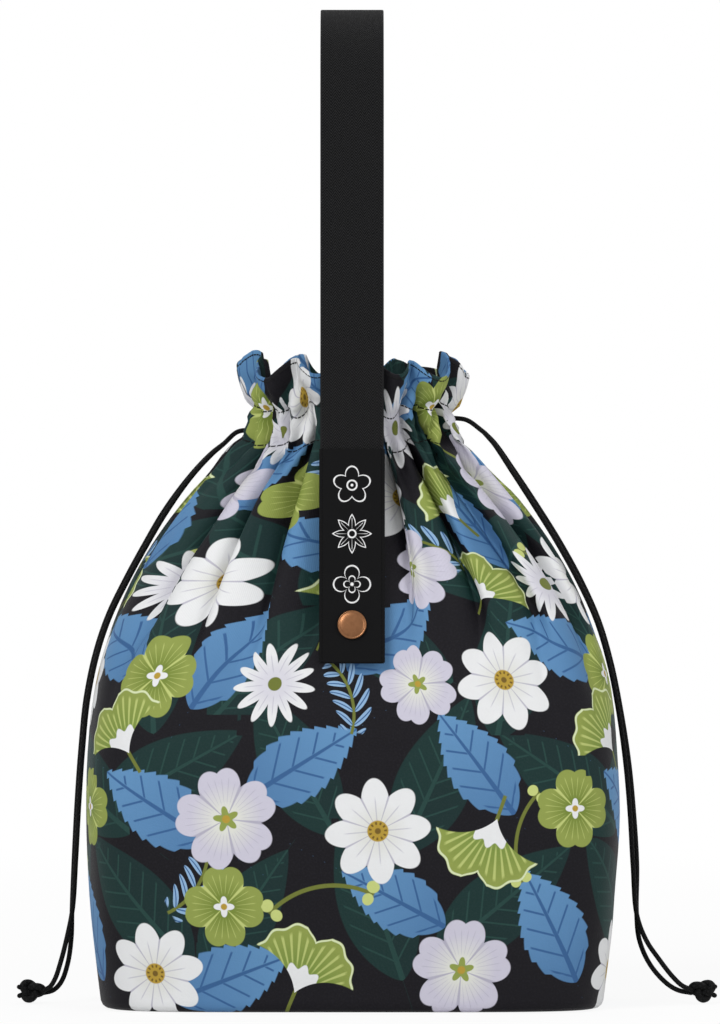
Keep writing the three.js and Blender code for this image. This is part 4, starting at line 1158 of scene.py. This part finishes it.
# Patch. A smooth black ribbon sewn over the tab's front along its edges, with three small line
# blossoms embroidered in white thread. It bends with the tab and carries the snap at its lower end.
PATCH_WIDTH, PATCH, PATCH_OFFSET = 0.033, 0.0007, 0.00135
PATCH_TOP, RIB_GAP = 0.282, 0.62
patch_top = float(np.interp(-PATCH_TOP, -front_run[::-1][:, 1], strap_walk[-len(front_run) :]))
patch = flat_band("tab_ribbon", patch_top, strap_end, PATCH_WIDTH, PATCH, PATCH_OFFSET, (True, True))
ribbon = Finish("smooth_black_ribbon", 0.85, specular=0.12)
place_x, place_y, place_z = ribbon.millimetres()
ribs = place_z.ribs(RIB_GAP) * place_x.ribs(RIB_GAP)
edge_seam = (0.3 - abs(abs(place_x) - 14.9)).over(0, 0.12) * place_z.dashes(2.6, 0.40, 0.04)


def embroidered(centre, outline):
    """White thread where outline(radius, angle) says, round one centre on the patch."""
    x, z = place_x - centre[0], place_z - centre[1]
    radius = (x * x + z * z) ** 0.5
    angle = x.arc_over(z)
    return outline(radius, angle) * (12 - radius).over(0, 0.2)


def thread_line(distance, half_width=0.42):
    return (half_width - abs(distance)).over(0, 0.12)


def round_petals(radius, angle):
    lobe = abs((angle * 2.5).cos())
    rim = thread_line(radius - 5.6 - lobe * 3.8)
    return rim.at_least(thread_line(radius - 2.4)).at_least(thread_line(radius - 0.3))


def pointed_petals(radius, angle):
    fold = abs((angle * (8 / (2 * math.pi))).fract() - 0.5) * 2
    rim = thread_line(radius - 4.4 - fold * 5.2, 0.5)
    spoke = (0.06 - abs(fold - 1)).over(0, 0.03) * (radius - 2.6).over(0, 0.2) * (7.8 - radius).over(0, 0.2)
    return rim.at_least(thread_line(radius - 1.9)).at_least(spoke)


def broad_petals(radius, angle):
    lobe = abs((angle * 2).cos()) ** 0.6
    rim = thread_line(radius - 3.2 - lobe * 6.0)
    inner = thread_line(radius - 1.2 - lobe * 2.9, 0.36)
    stamens = (radius - 0.9).over(0, 0.2)
    return rim.at_least(inner).at_least(1 - stamens)


stitched = embroidered((0.0, 264.4), round_petals)
stitched = stitched.at_least(embroidered((0.0, 240.1), pointed_petals))
stitched = stitched.at_least(embroidered((0.0, 214.9), broad_petals))
twist = (place_x + place_z).ribs(0.7)
thread_white = ribbon.mix(twist.rises(-1, 1) * 0.5, srgb(244, 244, 244), srgb(206, 206, 208))
black = ribbon.mix(ribs.rises(-1, 1), srgb(4, 4, 5), srgb(15, 15, 16))
ribbon.colour(black, (edge_seam, srgb(5, 5, 6)), (stitched, thread_white))
ribbon.bump(ribs * 0.12 - edge_seam * 0.6 + stitched * (twist * 0.15 + 1.2), 0.0004)
finish_piece(patch, ribbon, "tab", "ribbon", "tab_patch")


# Snap. A four-part press stud in antique copper: its domed cap, turned down at the edge, is clinched
# through ribbon and tab to the socket behind, and the stud is riveted to the bag over a backing ring.
CAP_RADIUS, CAP_THICKNESS, CAP_BACK = 0.0073, 0.0017, 0.0062
SNAP_HEIGHT, SNAP_REACH = 0.1935, 0.0062
snap_foot = half_depth(SNAP_HEIGHT - SNAP_REACH)
snap_head = half_depth(SNAP_HEIGHT + SNAP_REACH)
snap_lean = math.atan((snap_foot - snap_head) / (2 * SNAP_REACH))
snap_origin = np.array([0, -(snap_foot + snap_head) / 2, SNAP_HEIGHT])
snap_out = np.array([0, -math.cos(snap_lean), math.sin(snap_lean)])
snap_up = np.array([0, math.sin(snap_lean), math.cos(snap_lean)])
# Shares of the cap's radius and of its thickness, from the middle of its face to that of its back
cap_profile = [
    (0.0001, 1.00), (0.20, 0.997), (0.42, 0.985), (0.60, 0.955), (0.74, 0.90), (0.82, 0.81), (0.872, 0.66),
    (0.90, 0.69), (0.94, 0.76), (0.978, 0.70), (1.0, 0.50), (0.996, 0.28), (0.978, 0.10), (0.94, 0.01),
    (0.90, 0.0), (0.5, 0.0), (0.0001, 0.0),
]
cap_turn = np.linspace(0, 2 * math.pi, 97)[:, None]
cap_ring = CAP_RADIUS * (np.cos(cap_turn) * np.array([[1.0, 0, 0]]) + np.sin(cap_turn) * snap_up)
cap_rows = [
    snap_origin + cap_ring * reach + snap_out * (CAP_BACK + CAP_THICKNESS * rise)
    for reach, rise in cap_profile
]
cap = lofted("snap_cap_turned", cap_rows, 96)
merge_points(0.00001)
copper = Finish("antique_copper", 0.34, metallic=1.0)
tarnish = copper.noise(copper.place(), 420.0, 4.0)
scratches = copper.noise(copper.place(), 2600.0, 2.0)
copper.colour(srgb(130, 91, 63), (tarnish.rises(0.3, 0.8), srgb(106, 72, 49)))
copper.feed(tarnish.rises(0.3, 0.8) * 0.16 + 0.28, copper.shader.inputs["Roughness"])
copper.bump(scratches, 0.00003, 0.5)
finish_piece(cap, copper, "tab", "copper", "snap_cap")
for node in ("snap_socket", "snap_stud", "snap_backing"):
    copper.dress(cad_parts[node])


# Floor: a wide pale sheet, which isn't part of the bag. It keeps the bag's shadow, and away from the
# bag it turns into the white of the world around it.
FLOOR_REACH, FLOOR_DROP = 12.0, 0.0004
SEEN_RAYS = ("Is Camera Ray", "Is Glossy Ray", "Is Transmission Ray")
near_edge = np.array([(FLOOR_REACH, -FLOOR_REACH, -FLOOR_DROP), (-FLOOR_REACH, -FLOOR_REACH, -FLOOR_DROP)])
floor = lofted("floor", [near_edge, near_edge * [1, -1, 1]], 1)
floor_finish = Finish("pale_floor", 0.95, specular=0.0)
floor_finish.colour(srgb(240, 240, 240))
ray_kinds = floor_finish.node("ShaderNodeLightPath", {}, {}).outputs
seen = sum(Value(floor_finish, ray_kinds[name]) for name in SEEN_RAYS).at_most(1)
x, y, z = floor_finish.axes(floor_finish.place())
away = (x * x + y * y) ** 0.5
glow = floor_finish.node("ShaderNodeEmission", {}, {"Color": (1, 1, 1, 1), "Strength": 1.0})
glow_share = seen * (away.rises(0.35, 1.5) * 0.1 + 0.9)
floor_mix = floor_finish.node("ShaderNodeMixShader", {}, {0: glow_share})
floor_finish.tree.links.new(floor_finish.shader.outputs[0], floor_mix.inputs[1])
floor_finish.tree.links.new(glow.outputs[0], floor_mix.inputs[2])
output = floor_finish.tree.nodes["Material Output"]
floor_finish.tree.links.new(floor_mix.outputs[0], output.inputs["Surface"])
floor_finish.dress(floor)

# World: white all round where it is seen or mirrored, and a soft grey light on the bag
WORLD_GLOW = 0.38
world = bpy.data.worlds.new("studio")
bpy.context.scene.world = world
world.use_nodes = True
background = world.node_tree.nodes["Background"]
background.inputs["Color"].default_value = (1, 1, 1, 1)
rays = world.node_tree.nodes.new("ShaderNodeLightPath").outputs
seen_share = None
for ray in SEEN_RAYS:
    most = world.node_tree.nodes.new("ShaderNodeMath")
    most.operation = "MAXIMUM"
    most.inputs[1].default_value = WORLD_GLOW
    world.node_tree.links.new(rays[ray], most.inputs[0])
    if seen_share is not None:
        world.node_tree.links.new(seen_share, most.inputs[1])
    seen_share = most.outputs[0]
world.node_tree.links.new(seen_share, background.inputs["Strength"])


LAMP_AIM = Vector((0, 0, 0.22))


def softbox(name, location, size, power):
    """A square area lamp that faces the middle of the bag."""
    lamp = bpy.data.lights.new(name, "AREA")
    lamp.size = size
    lamp.energy = power
    stand = bpy.data.objects.new(name, lamp)
    bpy.context.collection.objects.link(stand)
    stand.location = location
    aim = LAMP_AIM - Vector(location)
    stand.rotation_euler = aim.to_track_quat("-Z", "Y").to_euler()


softbox("key", (-1.0, -1.7, 1.7), 0.9, 36)
softbox("fill", (1.7, -1.5, 0.8), 1.0, 15)
softbox("top", (0.2, 0.9, 1.9), 1.0, 9)

# Camera: long lens, level with the middle of the bag
CAMERA_DISTANCE, SENSOR = 5.0, 36
PIXEL, PICTURE_HEIGHT = 0.0005035, 1024
VIEW_CENTRE = Vector((0.0040, -0.05, 0.2507))
camera = bpy.data.cameras.new("camera")
camera.sensor_width = SENSOR
camera.lens = SENSOR * CAMERA_DISTANCE / (PICTURE_HEIGHT * PIXEL)
camera_stand = bpy.data.objects.new("camera", camera)
bpy.context.collection.objects.link(camera_stand)
elevation = math.radians(1.0)
back = Vector((0, -math.cos(elevation), math.sin(elevation)))
camera_stand.location = VIEW_CENTRE + back * CAMERA_DISTANCE
camera_stand.rotation_euler = (-back).to_track_quat("-Z", "Y").to_euler()
bpy.context.scene.camera = camera_stand
bpy.context.scene.view_settings.view_transform = "Standard"
